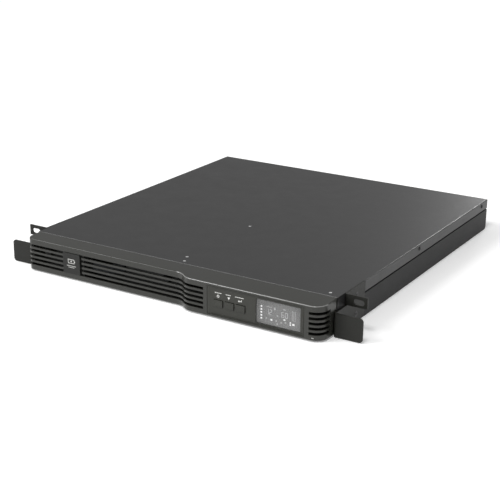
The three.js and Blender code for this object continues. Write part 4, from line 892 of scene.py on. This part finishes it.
def make_key_icons():
    thick = 0.06 * MM
    bm = bmesh.new()
    ring_arc(bm, 78.6, 27.3, 1.7, 0.7, 130, 410, DISH_Y, thick)
    flat_shape(bm, [(78.25, 27.3), (78.95, 27.3), (78.95, 29.4), (78.25, 29.4)], DISH_Y, thick)
    flat_shape(bm, [(91.1, 28.7), (92.9, 25.9), (94.7, 28.7)], DISH_Y, thick)
    flat_shape(bm, [(105, 27), (106.9, 25.6), (106.9, 28.4)], DISH_Y, thick)
    flat_shape(bm, [(106.9, 26.7), (109.9, 26.7), (109.9, 27.4), (106.9, 27.4)], DISH_Y, thick)
    flat_shape(bm, [(109.2, 27.4), (109.9, 27.4), (109.9, 29), (109.2, 29)], DISH_Y, thick)
    for x, count in ((78.8, 4), (92.4, 3), (107, 5)):
        for k in range(count):
            start = x - count * 1.15 + 2.3 * k
            end = start + 1.9
            flat_shape(bm, [(start, 30.9), (end, 30.9), (end, 31.7), (start, 31.7)], DISH_Y, thick)
    bmesh.ops.recalc_face_normals(bm, faces=bm.faces)
    new_piece("key_icons", bm, "chassis", "panel_plastic", PRINT_AND_PAINTED_GLOW)
    bm = bmesh.new()
    middle, y = (-139.85, 22.1), BADGE_Y
    x, z = middle
    for x0, x1, z0, z1 in ((x - 5.2, x + 4.6, z + 4.2, z + 4.8), (x - 5.2, x + 4.6, z - 0.6, z),
                           (x - 5.2, x - 4.6, z, z + 4.2), (x + 4, x + 4.6, z, z + 4.2),
                           (x + 4.9, x + 5.7, z + 1.2, z + 3)):
        flat_shape(bm, [(x0, z0), (x1, z0), (x1, z1), (x0, z1)], y, thick)
    flat_shape(bm, [(x + 0.6, z + 3.8), (x - 2, z + 1.9), (x - 0.3, z + 1.9), (x - 1.1, z + 0.4),
                    (x + 1.5, z + 2.3), (x - 0.2, z + 2.3)], y, thick)
    for x0, x1, z0 in ((x - 7.2, x + 6.8, z - 4), (x - 5, x + 4.6, z - 6)):
        flat_shape(bm, [(x0, z0), (x1, z0), (x1, z0 + 0.5), (x0, z0 + 0.5)], y, thick)
    bmesh.ops.recalc_face_normals(bm, faces=bm.faces)
    new_piece("badge_mark", bm, "bezel", "bezel_plastic", PRINT_AND_PAINTED_GLOW)
    prints("corner_mark", "bezel", [(199.5, 202.5, 4.5, 5)], FRONT_Y + 0.07 * MM)


# ---------------------------------------------------------------- rear contacts and inside details

SOCKET_Z = 21.5
BLADES = ((-7, -2), (0, 2), (7, -2))


def make_contacts():
    inlet_x = (low("mains_inlet").x + high("mains_inlet").x) / 2
    bm = bmesh.new()
    for z, x in BLADES:
        middle = inlet_x + x * MM
        box_into(bm, middle - 2.06 * MM, middle + 2.06 * MM, REAR_Y - 15.9 * MM, REAR_Y - 0.95 * MM,
                 (SOCKET_Z + z - 1.06) * MM, (SOCKET_Z + z + 1.06) * MM)
    bevel_edges(bm, bm.edges[:], 0.3 * MM, 2)
    new_piece("inlet_blades", bm, "chassis", "zinc_steel")
    bm = bmesh.new()
    for number in range(1, 7):
        node = f"outlet_{number}"
        middle = (low(node).x + high(node).x) / 2
        for z, x in BLADES:
            for side in (-1, 1):
                z0 = (SOCKET_Z + z + side * 0.95) * MM
                box_into(bm, middle + (x - 2) * MM, middle + (x + 2) * MM, REAR_Y - 12 * MM,
                         REAR_Y - 2.5 * MM, z0 - 0.2 * MM, z0 + 0.2 * MM)
    new_piece("outlet_contacts", bm, "chassis", "zinc_steel", BRASS)
    jack_x = (low("network_jacks").x + high("network_jacks").x) / 2
    bm = bmesh.new()
    for side in (-7, 7):
        for k in range(8):
            x = jack_x + (side - 3.57 + 1.02 * k) * MM
            box_into(bm, x - 0.2 * MM, x + 0.2 * MM, REAR_Y - 10 * MM, REAR_Y - 3 * MM, 16.4 * MM, 16.9 * MM)
    new_piece("jack_contacts", bm, "chassis", "zinc_steel", BRASS)


def make_battery_details():
    labels, vents, posts = bmesh.new(), bmesh.new(), bmesh.new()
    for number in range(1, 5):
        node = f"battery_{number}"
        a, b = low(node), high(node)
        case_right = a.x + 94 * MM
        box_into(labels, a.x + 12 * MM, case_right - 26 * MM, a.y + 28 * MM, b.y - 28 * MM, b.z - 0.1 * MM,
                 b.z + 0.15 * MM)
        for k in range(6):
            y = a.y + (36 + 15.8 * k) * MM
            box_into(vents, case_right - 6 * MM, case_right - 1.5 * MM, y, y + 9 * MM,
                     b.z - 0.1 * MM, b.z + 0.2 * MM)
        for y in (a.y + 12.4 * MM, b.y - 12.6 * MM):
            box_into(posts, case_right - 0.2 * MM, case_right + 1.2 * MM, y - 3.4 * MM, y + 3.4 * MM,
                     (a.z + b.z) / 2 - 5.5 * MM, (a.z + b.z) / 2 + 5.5 * MM)
    bevel_edges(vents, vents.edges[:], 0.12 * MM, 1)
    new_piece("battery_labels", labels, "tray", "battery_case", LABEL_PAPER)
    new_piece("battery_vents", vents, "tray", "battery_case")
    new_piece("terminal_collars", posts, "tray", "battery_case", RED_PLASTIC)


SLOT_OF = {s["node"]: s["material_slot"] for s in frame["record"]["subparts"]}
BODY_OF = {node: body for body, members in frame["record"]["behaviour"]["bodies"].items() for node in members}

make_camera()
make_stage()
make_bezel()
make_bezel_edge()
make_bezel_hooks()
make_softened()
make_screws()
make_rivets()
make_display()
make_key_icons()
make_contacts()
make_battery_details()
